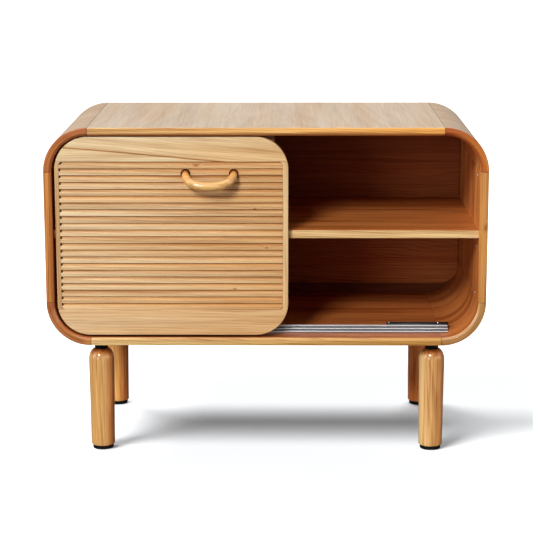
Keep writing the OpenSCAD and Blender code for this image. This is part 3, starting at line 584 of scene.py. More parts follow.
case_wood = timber_material("case_wood", TOP_LOOK, shine=0.25, coat=0.15, coat_gloss=0.2,
                            lip=LIP_LOOK, lining=INNER_LOOK)
shelf_wood = timber_material("shelf_wood", INNER_LOOK, lip=LIP_LOOK, coat=0.0)
inner_wood = timber_material("inner_wood", BACK_LOOK, gloss=0.5, shine=0.15, coat=0.0)
door_wood = timber_material("door_wood", DOOR_LOOK, gloss=0.45, shine=0.1, coat=0.0)
rail_wood = timber_material("rail_wood", RAIL_LOOK, gloss=0.45, shine=0.1, coat=0.0, joint=True)
leg_wood = timber_material("leg_wood", LEG_LOOK, gloss=0.36, shine=0.02, coat=0.8, coat_gloss=0.13)
handle_wood = timber_material("handle_wood", HANDLE_LOOK, gloss=0.22, shine=0.5, coat=0.5)
spline_wood = grained_material("spline_wood", (0.50, 0.26, 0.10), (0.62, 0.36, 0.16), 0.5)
black_metal = grained_material("black_metal", (0.007, 0.006, 0.005), (0.016, 0.013, 0.011), 0.5, shine=0.08)
black_rubber = grained_material("black_rubber", (0.004,) * 3, (0.012, 0.011, 0.011), 0.75, shine=0.08)
black_plastic = grained_material("black_plastic", (0.005,) * 3, (0.014, 0.013, 0.013), 0.5, shine=0.2)
aluminium = grained_material("aluminium", (0.66, 0.67, 0.69), (0.76, 0.77, 0.80), 0.30, 1.0,
                             (4, 900, 900), 7.0, 0.02, 0.04)
track_metal = grained_material("track_metal", (0.80, 0.80, 0.82), (0.86, 0.86, 0.89), 0.28, 1.0,
                               (2, 600, 600), 7.0, 0.0, 0.03, toned=True)
nickel = grained_material("nickel", (0.66, 0.63, 0.60), (0.84, 0.81, 0.78), 0.22, 1.0)
steel = grained_material("steel", (0.42, 0.42, 0.43), (0.60, 0.60, 0.61), 0.35, 1.0)
dull_steel = grained_material("dull_steel", (0.22, 0.22, 0.225), (0.30, 0.30, 0.31), 0.55, 1.0)
nylon = grained_material("nylon", (0.13, 0.048, 0.014), (0.20, 0.085, 0.03), 0.5, shine=0.2)
dark_bronze = grained_material("dark_bronze", (0.06, 0.016, 0.004), (0.10, 0.03, 0.009), 0.5, shine=0.06)


# ---------- case ----------

FRONT_BEVEL = 4 * MM
# Depth and thickness within which a point belongs to the front bevel, and its part that gets the painted
# shade or highlight
BEVEL_REACH, BEVEL_SHADE = 4.8 * MM, 3.6 * MM
PANEL_T = 6 * MM
GROOVE = 5 * MM
SEAM = 0.5 * MM
FIELD_BAND = 18 * MM
FIELD_GAP = 0.8 * MM
FIELD_ROUND = 33 * MM
PANEL_EDGE, FIELD_EDGE = 0.4 * MM, 1.2 * MM
SHELF_EDGE, SHELF_BEVEL = 1 * MM, 0.4 * MM
# Painted light on the raised field: what its colour is multiplied by at the middle and at the right
FIELD_PAINTED_LIGHT = (0.85,) * 3, (1.1,) * 3
panel_front = corners_of("back_panel")[1][1] - PANEL_T
# Painted shade and highlight on a lip's bevel, as what the lip's colour is multiplied by there: painted
# shade on the left, over the opening and elsewhere, and a painted highlight at the lower right corner
LEFT_BEVEL_PAINTED_SHADE, TOP_BEVEL_PAINTED_SHADE = (0.88, 0.50, 0.34), (0.80, 0.42, 0.30)
BEVEL_PAINTED_HIGHLIGHT, PLAIN_BEVEL_PAINTED_SHADE = (1.35, 1.4, 1.6), (0.92, 0.78, 0.62)


def board_section():
    """Section of a case board in (depth, thickness from the inner face): a wide bevel with soft
    ends along the inner front edge, small rounds elsewhere and a groove for the back panel."""
    panel_back = panel_front + PANEL_T
    corners = [(front, FRONT_BEVEL), (front + FRONT_BEVEL, 0), (panel_front, 0), (panel_front, GROOVE),
               (panel_back, GROOVE), (panel_back, 0), (back, 0), (back, board), (front, board)]
    radii = np.array([1.3, 1.3, 0.1, 0.1, 0.1, 0.1, 0.9, 1.1, 1.1]) * MM
    return soft_corners(corners, radii, 6)


def timber_shift():
    """Where a board was sawn from its log: along it, across it and from its heart."""
    return np.array([chance.uniform(-2, 2), chance.uniform(-0.05, 0.05), chance.uniform(0.03, 0.09)])


def grain_along(axes, shift=None):
    """Places in the timber whose fibres run along the first of three axes (0 x, 1 y, 2 z)."""
    shift = timber_shift() if shift is None else np.asarray(shift, float)
    return lambda p: p[:, axes] + shift


def knot_at(axes, along, across, size):
    """The way from a knot at two places along two axes, in knot sizes."""
    return lambda p: np.stack([p[:, axes[0]] - along, p[:, axes[1]] - across, 0 * p[:, 0]], 1) / size


def blended(start, end, share):
    """A colour that changes by the share given for each point."""
    return lambda p: (1 - share(p)) * np.array(start) + share(p) * np.array(end)


def fading(start, end, axis, low, high):
    """A colour that changes evenly along an axis between two places."""
    return blended(start, end, lambda p: np.clip((p[:, axis] - low) / (high - low), 0, 1)[:, None])


def case_piece(node, rings, slot, grains, seam_of, thick_of, lip, bevel, **values):
    """A board or corner of the case, with the grain of the board and of its lip, the colour of
    the lip and the painted shade or painted highlight that its bevel multiplies that by. The attribute
    spot holds the seam distance in seam widths, the depth from the front and the thickness from the
    inner face; the bevel counts as front."""
    def spots(p):
        depth, thick = p[:, 1] - front, thick_of(p)
        bevelled = (depth < BEVEL_REACH) & (thick < BEVEL_REACH)
        return np.stack([np.clip(seam_of(p) / SEAM, 0, 1), np.where(bevelled, 0, depth), thick], 1)

    # The bevel's multiplier is painted shade, or a painted highlight at the lower right corner
    def lip_tone(p):
        bevelled = (thick_of(p) < BEVEL_SHADE) & (p[:, 1] - front < BEVEL_REACH)
        return (lip(p) if callable(lip) else np.array(lip)) * np.where(bevelled[:, None], bevel, 1)

    make_piece(node, skin(rings), case_wood, "case", slot, grain=grains[0], edge_grain=grains[1],
               lip_tone=lip_tone, spot=spots, **values)


def flat_boards():
    section = board_section()
    rings = bar_rings(section, -seam_x, seam_x, SEAM)
    end_seams = lambda p: seam_x - abs(p[:, 0])
    # The last column is the painted shade on the board's bevel
    for node, z, axes, tone, inner, lip, thick, knot, bevel in (
            ("top_panel", ceiling + rings[..., 2], [1, 0, 2], TOP_TONE, INNER_TONE,
             ((0.75, 0.455, 0.18), (0.77, 0.345, 0.075)), lambda p: p[:, 2] - ceiling,
             knot_at((1, 0), front + 143 * MM, -68 * MM, 1.3 * MM), TOP_BEVEL_PAINTED_SHADE),
            ("bottom_panel", case_floor - rings[..., 2], [0, 1, 2], SIDE_TONE, FLOOR_TONE,
             ((0.68, 0.445, 0.18), (0.465, 0.235, 0.052)), lambda p: case_floor - p[:, 2],
             NO_KNOT, PLAIN_BEVEL_PAINTED_SHADE)):
        case_piece(node, np.stack([rings[..., 0], rings[..., 1], z], -1), "case_wood",
                   (grain_along(axes), grain_along([0, 2, 1])), end_seams, thick,
                   fading(*lip, 0, -seam_x, seam_x), bevel, knot=knot, tone=tone, inner_tone=inner)
    rings = bar_rings(section, seam_low, seam_high, SEAM)
    end_seams = lambda p: np.minimum(p[:, 2] - seam_low, seam_high - p[:, 2])
    thick = lambda p: abs(p[:, 0]) - wall
    for node, sign, lip, inner, knot, bevel in (
            ("left_panel", -1, (0.57, 0.225, 0.052), INNER_TONE, NO_KNOT, LEFT_BEVEL_PAINTED_SHADE),
            ("right_panel", 1, (0.51, 0.235, 0.062), fading(*WALL_PAINTED_LIGHT_TONES, 2, seam_low, seam_high),
             knot_at((2, 0), underside + 197 * MM, 356 * MM, 2.2 * MM), PLAIN_BEVEL_PAINTED_SHADE)):
        case_piece(node, np.stack([sign * (wall + rings[..., 2]), rings[..., 1], rings[..., 0]], -1),
                   "case_wood", (grain_along([2, 1, 0]), grain_along([2, 0, 1])), end_seams, thick,
                   lip, bevel, edge_knot=knot, tone=SIDE_TONE, inner_tone=inner)


def corner_block(node, rings, sx, sz, centre_z, side_lip, flat_lip, inner):
    """A corner whose fibres follow its turn. Its colours change along the turn, from the side
    board's to the flat board's."""
    arc = QUARTER_TURN * corner_inner

    def turned_places(p):
        x, z = sx * p[:, 0] - seam_x, sz * (p[:, 2] - centre_z)
        return np.stack([np.arctan2(z, x) * corner_inner, p[:, 1], np.hypot(x, z) - corner_inner], 1)

    def end_seams(p):
        along = turned_places(p)[:, 0]
        return np.minimum(along, arc - along)

    share = lambda p: np.clip(turned_places(p)[:, 0] / arc, 0, 1)[:, None] ** 1.5
    shift, lip_shift = timber_shift(), timber_shift()
    grains = lambda p: turned_places(p) + shift, lambda p: turned_places(p)[:, [0, 2, 1]] + lip_shift
    # The bevel gets painted shade, or a painted highlight at the lower right corner
    case_piece(node, rings, "corner_wood", grains, end_seams, lambda p: turned_places(p)[:, 2],
               blended(side_lip, flat_lip, share),
               LEFT_BEVEL_PAINTED_SHADE if sx < 0 else TOP_BEVEL_PAINTED_SHADE if sz > 0 else BEVEL_PAINTED_HIGHLIGHT,
               tone=TOP_CORNER_TONE if sz > 0 else SIDE_TONE,
               inner_tone=blended(inner, INNER_TONE if sz > 0 else FLOOR_TONE, share))


def corner_blocks():
    """Quarter turns of the boards' section: a point at thickness t stands at the inner radius
    plus t from the corner's centre."""
    section = board_section()
    ends = SEAM / corner_inner
    angles = np.concatenate([[0, ends], np.linspace(0, QUARTER_TURN, 34)[1:-1],
                             [QUARTER_TURN - ends, QUARTER_TURN]])
    draws = np.zeros(len(angles))
    draws[[0, -1]] = SEAM
    flat = section[None] + mitres(section)[None] * draws[:, None, None]
    radius = corner_inner + flat[..., 1]
    a = np.broadcast_to(angles[:, None], radius.shape)
    for node, sx, sz, *tones in (
            ("corner_top_right", 1, 1, (0.52, 0.17, 0.030), (0.36, 0.085, 0.020), WALL_PAINTED_LIGHT_TONES[1]),
            ("corner_top_left", -1, 1, (0.42, 0.14, 0.036), (0.41, 0.125, 0.04), INNER_TONE),
            ("corner_bottom_right", 1, -1, (0.41, 0.205, 0.062), (0.37, 0.175, 0.055), WALL_PAINTED_LIGHT_TONES[0]),
            ("corner_bottom_left", -1, -1, (0.44, 0.145, 0.036), (0.46, 0.18, 0.048), INNER_TONE)):
        centre_z = seam_high if sz > 0 else seam_low
        rings = np.stack([sx * (seam_x + radius * np.cos(a)), flat[..., 0],
                          centre_z + sz * radius * np.sin(a)], -1)
        corner_block(node, rings, sx, sz, centre_z, *tones)


def back_board():
    """The panel in its groove, and its raised field with tighter corners, as one run of rings:
    back face, panel edge, panel front, then the field's edge and face."""
    def outline(half_width, low, high, radius):
        return soft_corners(rectangle(-half_width, low, half_width, high), radius, 20)

    low, high = case_floor + FIELD_BAND, ceiling - FIELD_BAND
    panel = outline(wall + GROOVE, case_floor - GROOVE, ceiling + GROOVE, corner_inner + GROOVE)
    panel_rings = plate_rings(panel, panel_front, panel_front + PANEL_T, PANEL_EDGE)[::-1]
    field = outline(wall - FIELD_GAP, low, high, FIELD_ROUND)
    depths, draws = edge_levels(corners_of("back_panel")[0][1], panel_front, FIELD_EDGE)
    half = len(depths) // 2
    edge = layered(field, depths[:half][::-1], draws[:half][::-1])
    foot = edge[:1].copy()
    foot[..., 1] = panel_front
    # Painted shade: the field darkens towards the top; painted light: it brightens to the right
    shade_upwards = fading(*BACK_PAINTED_SHADE_TONES, 2, low, high)
    painted_light_rightwards = fading(*FIELD_PAINTED_LIGHT, 0, 0, wall)
    # The band round the field gets a dark painted shade
    make_piece("back_panel", skin(np.concatenate([panel_rings, foot, edge])), inner_wood, "case",
               grain=grain_along([0, 2, 1]),
               tone=lambda p: np.where(p[:, [1]] < panel_front - 0.1 * MM, shade_upwards(p) * painted_light_rightwards(p),
                                       BAND_PAINTED_SHADE))


def shelf_board():
    """The shelf has no seams, and only the depth parts its lip from the rest."""
    low, high = corners_of("shelf")
    section = soft_corners(rectangle(low[1], low[2], high[1], high[2]), SHELF_EDGE)
    make_piece("shelf", skin(bar_rings(section, low[0], high[0], SHELF_BEVEL)), shelf_wood, "case",
               grain=grain_along([0, 1, 2]), edge_grain=grain_along([0, 2, 1]), tone=INNER_TONE,
               lip_tone=SHELF_LIP, spot=lambda p: (p[:, [1, 1, 1]] - low[1]) * [0, 1, 1] + [1, 0, 0])


# ---------- legs ----------

DOME_H = 20 * MM
DOME_FLAT = 10 * MM
FOOT_R = 19.6 * MM
FOOT_RIM = 2.2 * MM
PAD_H = 6.3 * MM
SPIGOT_R = 4 * MM
COLLAR_EDGE, PAD_EDGE = 0.7 * MM, 1.1 * MM
# How far under a leg's top the collar's painted shadow begins and is full
SHADOW_START, SHADOW_FULL = 12 * MM, 2 * MM
# A turned profile starts and ends this close to its axis
AXIS_R = 0.2 * MM
# Node, colours at the left and right side, and the way from the log's heart to the leg. The right side's
# # darker, redder colour is painted shade, and so is the back right leg's colour all over
LEG_WOODS = [("leg_front_left", (0.71, 0.42, 0.155), (0.70, 0.22, 0.05), (0.026, -0.030)),
             ("leg_front_right", (0.72, 0.42, 0.165), (0.74, 0.27, 0.07), (0.014, -0.030)),
             ("leg_back_left", (0.84, 0.42, 0.13), (0.82, 0.20, 0.04), (0.020, -0.034)),
             ("leg_back_right", (0.74, 0.20, 0.045), (0.74, 0.20, 0.045), (-0.030, -0.030))]
# What the painted shadow under the collar multiplies the leg's colour by
COLLAR_PAINTED_SHADOW = (0.85, 0.45, 0.25)


def legs():
    """Each leg is turned: a flat top, a domed shoulder, a nearly straight shaft and a soft foot."""
    for node, left_tone, shaded_right_tone, heart in LEG_WOODS:
        low, high = corners_of(node)
        centre, thick, top, foot = (low + high) / 2, (high[0] - low[0]) / 2, high[2], low[2]
        shaft_z = np.linspace(top - DOME_H, foot + FOOT_RIM, 14)[1:-1]
        share = (top - DOME_H - shaft_z) / (top - DOME_H - foot)
        profile = np.concatenate([
            [[AXIS_R, top]], quarter(DOME_FLAT, thick, top, top - DOME_H, 18),
            np.stack([thick + (FOOT_R - thick) * share, shaft_z], 1),
            quarter(FOOT_R - FOOT_RIM, FOOT_R, foot, foot + FOOT_RIM, 7)[::-1], [[AXIS_R, foot]]])
        shift = np.array([chance.uniform(-1, 1), *heart]) - [0, centre[0], centre[1]]
        # Painted shade: the side away from the light is darker and redder
        across = fading(left_tone, shaded_right_tone, 0, centre[0], high[0])
        collar_shadow_paint = fading(PLAIN, COLLAR_PAINTED_SHADOW, 2, top - SHADOW_START, top - SHADOW_FULL)
        make_piece(node, skin(lathe_rings(profile, (centre[0], centre[1], 0), sides=96), "fan"),
                   leg_wood, "case", flat_faces=False, grain=grain_along([2, 0, 1], shift),
                   tone=lambda p: across(p) * collar_shadow_paint(p))


def disc_side(radius, height, edge):
    """The side of a disc from its top to its foot, with both edges rounded."""
    return np.concatenate([quarter(radius - edge, radius, height, height - edge, 5),
                           quarter(radius - edge, radius, 0, edge, 5)[::-1]])


def collar_profile(radius, height):
    return [[AXIS_R, height], *disc_side(radius, height, COLLAR_EDGE), [AXIS_R, 0]]


def pad_profile(radius, height):
    """Only the disc below the leg shows: its spigot is inside the leg."""
    return [[AXIS_R, height], [SPIGOT_R, height], [SPIGOT_R, PAD_H],
            *disc_side(radius, PAD_H, PAD_EDGE), [AXIS_R, 0]]


def turned(node, material, profile_of):
    """One turned shape at each separate solid of a node, from its radius and height."""
    parts = []
    for low, high in solids(node):
        low, high = low.astype(float), high.astype(float)
        x, y = ((low + high) / 2)[:2]
        profile = profile_of((high[0] - low[0]) / 2, high[2] - low[2])
        parts.append(skin(lathe_rings(profile, (x, y, low[2])), "fan"))
    make_piece(node, joined(parts), material, "case")


# ---------- screws and studs ----------

HEAD_H = 1.3 * MM
SHANK_R = 1.4 * MM


def cross_head(centre, axis, radius, sides=40):
    """A round head with a cross recess. Its height over the radius r is a quarter ellipse, less a
    cross: the smaller of the two distances to the arms, ramped, where r is inside the arms."""
    r = np.concatenate([np.linspace(0.02, 0.97, 15), [1.0, 1.0]]) * radius
    q = np.linspace(0, 2 * math.pi, sides, endpoint=False)
    x, y = r[:, None] * np.cos(q), r[:, None] * np.sin(q)
    dome = HEAD_H * np.sqrt(1 - 0.93 * (r[:, None] / radius) ** 2) * np.ones_like(x)
    arm = np.minimum(abs(x), abs(y)) / (0.14 * radius)
    length = np.maximum(abs(x), abs(y)) / (0.58 * radius)
    cross = np.clip(1.6 - arm, 0, 1) * np.clip((1.15 - length) * 6, 0, 1)
    lift = dome - 0.45 * HEAD_H * cross
    lift[-1] = 0
    axis, across, other = square_to(axis)
    rings = np.asarray(centre) + x[..., None] * across + y[..., None] * other + lift[..., None] * axis
    return skin(rings, "fan")


def screw(seat, axis, radius, shank):
    """A head on its seat and the shank behind it."""
    tip = np.asarray(seat) - unit(axis) * shank
    body = lathe_rings([[0.1 * MM, 0], [SHANK_R * 0.6, 0.4 * MM], [SHANK_R, 2 * MM], [SHANK_R, shank]],
                       tip, axis, 20)
    return joined([cross_head(seat, axis, radius), skin(body, "fan")])


def case_screws():
    """Upright screws: heads down under the guide block, heads up on the floor. Those of the block
    and of the track are dull."""
    bright, dull = [], []
    track_back = corners_of("floor_track")[1][1]
    for low, high in solids("case_screws"):
        middle, radius = (low + high) / 2, (high[0] - low[0]) / 2
        up = 1 if middle[2] < (underside + roof) / 2 else -1
        seat_z = high[2] - HEAD_H if up > 0 else low[2] + HEAD_H
        made = screw((middle[0], middle[1], seat_z), (0, 0, up), radius, high[2] - low[2] - HEAD_H)
        (dull if up < 0 or middle[1] < track_back else bright).append(made)
    make_piece("case_screws", joined(bright), nickel, "case")
    make_piece("case_screws", joined(dull), dull_steel, "case", name="track_screws")


def door_screws():
    """Screws from behind the door, heads to the back."""
    parts = []
    for low, high in solids("door_screws"):
        middle, radius = (low + high) / 2, (high[0] - low[0]) / 2
        seat = (middle[0], high[1] - HEAD_H, middle[2])
        parts.append(screw(seat, (0, 1, 0), radius, high[1] - low[1] - HEAD_H))
    make_piece("door_screws", joined(parts), nickel, "door")


def wall_studs():
    """Round nickel heads on both inner walls: a low dome over a short rim."""
    parts = []
    for low, high in solids("wall_studs"):
        middle, radius = (low + high) / 2, (high[2] - low[2]) / 2
        inward = -np.sign(middle[0])
        dome = quarter(AXIS_R, radius, HEAD_H, 0.35 * MM, 9)
        head = lathe_rings(np.concatenate([dome, [[radius, 0]]]), (-inward * wall, middle[1], middle[2]),
                           (inward, 0, 0), 32)
        parts.append(skin(head, "fan"))
    make_piece("wall_studs", joined(parts), nickel, "case")


# ---------- floor track ----------

RIB_W = 2.6 * MM
TRACK_BASE = 2 * MM
RIB_HEIGHTS = np.array([4, 7, 10.5]) * MM
RIB_MID = 9.5 * MM
TRACK_BEVEL = 0.3 * MM
# Painted shade in the channels: how much of red, green and blue is lost there
CHANNEL_PAINTED_SHADE = np.array([0.62, 0.63, 0.64])


def floor_track():
    """The track's section, a thin base with three round-topped ribs, drawn along X. Its ends
    follow the case's round corners: at a height h over the floor the corner lies the root of
    R squared less (R - h) squared beyond the seam."""
    low, high = corners_of("floor_track")
    y0, y1, z0 = low[1], high[1], case_floor
    a = np.linspace(math.pi, 0, 9)
    outline = [(y0, z0)]
    for middle, height in zip((y0 + RIB_W / 2, y0 + RIB_MID, y1 - RIB_W / 2), RIB_HEIGHTS):
        top = np.stack([middle + RIB_W / 2 * np.cos(a), z0 + height + RIB_W / 2 * (np.sin(a) - 1)], 1)
        outline += [(middle - RIB_W / 2, z0 + TRACK_BASE), *top, (middle + RIB_W / 2, z0 + TRACK_BASE)]
    # The outer ribs stand flush with the base, so their outer feet are no corners
    section = np.delete(np.array([*outline, (y1, z0)]), [1, -2], 0)
    reach = corner_inner - (section[:, 1] - z0)
    end = np.minimum(seam_x + np.sqrt(corner_inner ** 2 - reach ** 2), high[0])

    def between(p):
        """Paints shade into the channels between the ribs and at the track's foot."""
        top = np.select([p[:, 1] < y0 + RIB_W, p[:, 1] < y0 + RIB_MID + RIB_W], RIB_HEIGHTS[:2],
                        RIB_HEIGHTS[2])
        share = np.clip((z0 + top - p[:, 2] - RIB_W / 4) / (RIB_W / 2), 0, 1)[:, None]
        return 1 - share * CHANNEL_PAINTED_SHADE

    make_piece("floor_track", skin(bar_rings(section, -end, end, TRACK_BEVEL)), track_metal, "case",
               tone=between)


# ---------- door ----------

STILE_EAR = 4 * MM
GLUE = 0.1 * MM
DOOR_EDGE, STILE_EDGE, BACKING_EDGE = 0.9 * MM, 0.5 * MM, 0.6 * MM
SLAT_SUNK = 4.6 * MM
SLAT_STEP = 2 * MM
SLAT_BEVEL = 0.3 * MM
SLATS = 22
# Painted shade: what a slat's colour is multiplied by deep in its gap and just under it. How much of
# # red, green and blue the warmest slat lacks
GAP_PAINTED_SHADE, UNDER_GAP_PAINTED_SHADE = (0.8, 0.30, 0.10), (0.88, 0.66, 0.44)
WARM_LOSS = np.array([0.02, 0.08, 0.15])
# A fine shadow gap over each sunk part, and a pocket at its left end
GAP_H, GAP_DEEP = 0.9 * MM, 3 * MM
POCKET = 2.7 * MM
# Small knots in the slats: place across and up the door from its left end and the lowest slat
SLAT_KNOTS = [(231 * MM, 239.7 * MM, 1.7 * MM), (326 * MM, 168 * MM, 1.1 * MM),
              (293 * MM, 35.5 * MM, 1.1 * MM), (345 * MM, 104 * MM, 1.0 * MM)]
stile_inner = corners_of("door_right_stile")[0][0] + STILE_EAR


def round_centre(sx, sz):
    """The middle of the door's round at one corner."""
    return (DOOR_HIGH[0] - door_round if sx > 0 else door_left + door_round,
            DOOR_HIGH[2] - door_round if sz > 0 else DOOR_LOW[2] + door_round)


def door_arc(sx, sz, start, end, steps=20):
    """Points of the door's outline at one corner, from one angle to another, in (x, z)."""
    cx, cz = round_centre(sx, sz)
    a = np.linspace(start, end, steps)
    return np.stack([cx + sx * door_round * np.cos(a), cz + sz * door_round * np.sin(a)], 1)


def arc_start(level, sz):
    """The angle at which the door's corner passes a level."""
    return math.asin(min(max(sz * (level - round_centre(1, sz)[1]) / door_round, 0), 1))


def door_rails():
    """The rails over and under the slats. The upper one is glued from two boards, whose grain
    meets along a slanting line."""
    for node, sz, level, tones in (
            ("door_top_rail", 1, slats_top, ((0.74, 0.575, 0.355), (0.68, 0.455, 0.23))),
            ("door_bottom_rail", -1, slats_bottom, ((0.70, 0.48, 0.27), (0.63, 0.37, 0.165)))):
        start, glued = arc_start(level, sz), float(sz > 0)
        outline = np.concatenate([door_arc(1, sz, start, QUARTER_TURN),
                                  door_arc(-1, sz, QUARTER_TURN, start)])
        make_piece(node, skin(plate_rings(outline, door_face, slats_back, DOOR_EDGE)), rail_wood, "door",
                   grain=grain_along([0, 2, 1]), tone=fading(*tones, 0, DOOR_LOW[0], DOOR_HIGH[0]),
                   joint=lambda p: np.stack([p[:, 0] - DOOR_LOW[0], p[:, 2] - slats_top,
                                             np.full(len(p), glued)], 1))


def stile_x(z, sign):
    """Inner side of the strip beside the slats at height z, with its slanted ears."""
    ear = np.maximum(0, STILE_EAR - np.minimum(slats_top - GLUE - z, z - slats_bottom - GLUE))
    x = stile_inner - np.minimum(ear, STILE_EAR)
    return x if sign > 0 else DOOR_LOW[0] + DOOR_HIGH[0] - x


def door_stiles():
    z0, z1 = slats_bottom + GLUE, slats_top - GLUE
    ears = np.array([(stile_inner - STILE_EAR, z1), (stile_inner, z1 - STILE_EAR),
                     (stile_inner, z0 + STILE_EAR), (stile_inner - STILE_EAR, z0)])
    for node, sign in (("door_right_stile", 1), ("door_left_stile", -1)):
        arcs = [door_arc(sign, -1, arc_start(z0, -1), 0, 8), door_arc(sign, 1, 0, arc_start(z1, 1), 8)]
        side_ears = ears if sign > 0 else [DOOR_LOW[0] + DOOR_HIGH[0], 0] + ears * [-1, 1]
        rings = plate_rings(np.concatenate([*arcs, side_ears]), door_face, slats_back, STILE_EDGE)
        make_piece(node, skin(rings), door_wood, "door", grain=grain_along([2, 0, 1]), tone=STILE_TONE)


def slats():
    """Each slat is a proud lower bar and a sunk upper bar, drawn between the two strips, whose
    ears shorten it near the rails. The sunk bar's top front edge is cut back, and its left end
    stops short of the strip."""
    pitch = (slats_top - slats_bottom) / SLATS
    y0, y1 = door_face, slats_back
    sunk, deep = y0 + SLAT_STEP, y0 + SLAT_STEP + GAP_DEEP
    for k in range(SLATS):
        z1 = slats_top - k * pitch - GLUE / 2
        z0 = slats_top - (k + 1) * pitch + GLUE / 2
        zs = z1 - SLAT_SUNK
        proud = soft_corners(rectangle(y0, z0, y1, zs), np.array([0.8, 0.2, 0.2, 0.9]) * MM, 5)
        rear = soft_corners([(sunk, zs - 0.2 * MM), (y1, zs - 0.2 * MM), (y1, z1), (deep, z1),
                             (deep, z1 - GAP_H), (sunk, z1 - GAP_H)],
                            np.array([0.05, 0.2, 0.2, 0.1, 0.2, 0.35]) * MM, 4)
        bars = []
        for section, short in ((proud, 0), (rear, POCKET)):
            left = stile_x(section[:, 1], -1) + 1.5 * GLUE + short
            right = stile_x(section[:, 1], 1) - 1.5 * GLUE
            bars.append(skin(bar_rings(section, left, right, SLAT_BEVEL)))
        knot = NO_KNOT
        for across, up, size in SLAT_KNOTS:
            if z0 <= slats_bottom + up < z1:
                knot = knot_at((0, 2), DOOR_LOW[0] + across, slats_bottom + up, size)
        warm = chance.uniform(0, 1) ** 1.5
        tones = [np.array(tone) * chance.uniform(0.96, 1.03) * (1 - warm * WARM_LOSS)
                 for tone in SLAT_TONES]
        along = fading(*tones, 0, DOOR_LOW[0], DOOR_HIGH[0])
        # Painted shade deep in the gap and on the sunk bar just under the gap
        inwards = fading(PLAIN, GAP_PAINTED_SHADE, 1, sunk + 0.3 * MM, deep)
        shade_upwards = fading(PLAIN, UNDER_GAP_PAINTED_SHADE, 2, zs, z1 - GAP_H)
        make_piece(f"slat_{k + 1:02d}", joined(bars), door_wood, "door", knot=knot,
                   grain=grain_along([0, 1, 2]), tone=lambda p: along(p) * inwards(p) * shade_upwards(p))


def door_back():
    """The panel behind the slats has the door's outline."""
    corners = ((1, -1, QUARTER_TURN), (1, 1, 0), (-1, 1, QUARTER_TURN), (-1, -1, 0))
    outline = np.concatenate([door_arc(sx, sz, start, QUARTER_TURN - start, 16)
                              for sx, sz, start in corners])
    make_piece("door_backing", skin(plate_rings(outline, DOOR_LOW[1], DOOR_HIGH[1], BACKING_EDGE)),
               inner_wood, "door", grain=grain_along([0, 2, 1]), tone=DOOR_BACK_TONE)


# ---------- handle ----------

FERRULE_LOW, FERRULE_HIGH = corners_of("handle_ferrules")
FERRULE_R = 8.1 * MM
FERRULE_T = 3 * MM
FOOT_ROD = 5.6 * MM
GRIP_ROD = 7.4 * MM
HANDLE_DROP = 16.5 * MM
ROUNDNESS = 2.6
# How far in front of the door the grip's colour starts to change, and where it has the feet's
FADE_START, FADE_END = 16 * MM, 2 * MM
# The feet stand a little lower and closer together than the solid's
FEET_LOWER, FEET_CLOSER = 3 * MM, 1 * MM
feet_x, _, feet_z = (FERRULE_LOW + FERRULE_HIGH) / 2 - [0, 0, FEET_LOWER]
feet_half = (FERRULE_HIGH[0] - FERRULE_LOW[0]) / 2 - FERRULE_R - FEET_CLOSER
handle_out = door_face - corners_of("handle")[0][1] - GRIP_ROD


def handle():
    """A rod along a bow. With s the sine of the angle to the power 2 over the roundness, the bow
    lies across the door on a superellipse, stands out by s and drops by s to the 1.5; circles
    square to it are widest at the grip."""
    a = np.linspace(0, math.pi, 97)
    rise = np.maximum(np.sin(a), 0)
    s = rise ** (2 / ROUNDNESS)
    x = -np.sign(np.cos(a)) * np.abs(np.cos(a)) ** (2 / ROUNDNESS)
    bow = np.stack([feet_x + feet_half * x, door_face - handle_out * s, feet_z - HANDLE_DROP * s ** 1.5], 1)
    thick = FOOT_ROD + (GRIP_ROD - FOOT_ROD) * rise ** 0.6
    inwards = np.array([0, FERRULE_T - GLUE, 0])
    path = np.concatenate([[bow[0] + inwards], bow, [bow[-1] + inwards]])
    thick = np.concatenate([[FOOT_ROD], thick, [FOOT_ROD]])
    way = unit(np.gradient(path, axis=0))
    way[[0, -1]] = (0, -1, 0), (0, 1, 0)
    u = unit(np.cross((0, -HANDLE_DROP, handle_out), way))
    v = np.cross(way, u)
    q = np.linspace(0, 2 * math.pi, 48, endpoint=False)[None, :, None]
    rings = path[:, None] + thick[:, None, None] * (np.cos(q) * u[:, None] + np.sin(q) * v[:, None])
    make_piece("handle", skin(rings), handle_wood, "door", flat_faces=False,
               grain=grain_along([0, 1, 2], (0.3, 0.2, -0.45)),
               tone=fading(*HANDLE_TONES, 1, door_face - FADE_START, door_face - FADE_END))


def ferrules():
    """A dark ring round each foot, its outer edge rounded."""
    front_y = FERRULE_LOW[1]
    section = soft_corners(rectangle(FOOT_ROD + GLUE, 0, FERRULE_R, FERRULE_HIGH[1] - front_y),
                           np.array([0.18, 0.48, 0.12, 0.12]) * MM, 5)
    parts = [skin(lathe_rings(section, (feet_x + sign * feet_half, front_y, feet_z), (0, 1, 0)), closed=True)
             for sign in (-1, 1)]
    make_piece("handle_ferrules", joined(parts), dark_bronze, "door")


# ---------- rollers and fittings ----------

TREAD_R = 5 * MM
GROOVE_HALF = 1.6 * MM
GROOVE_SLANT = 0.3 * MM
PIN_R = 2.05 * MM


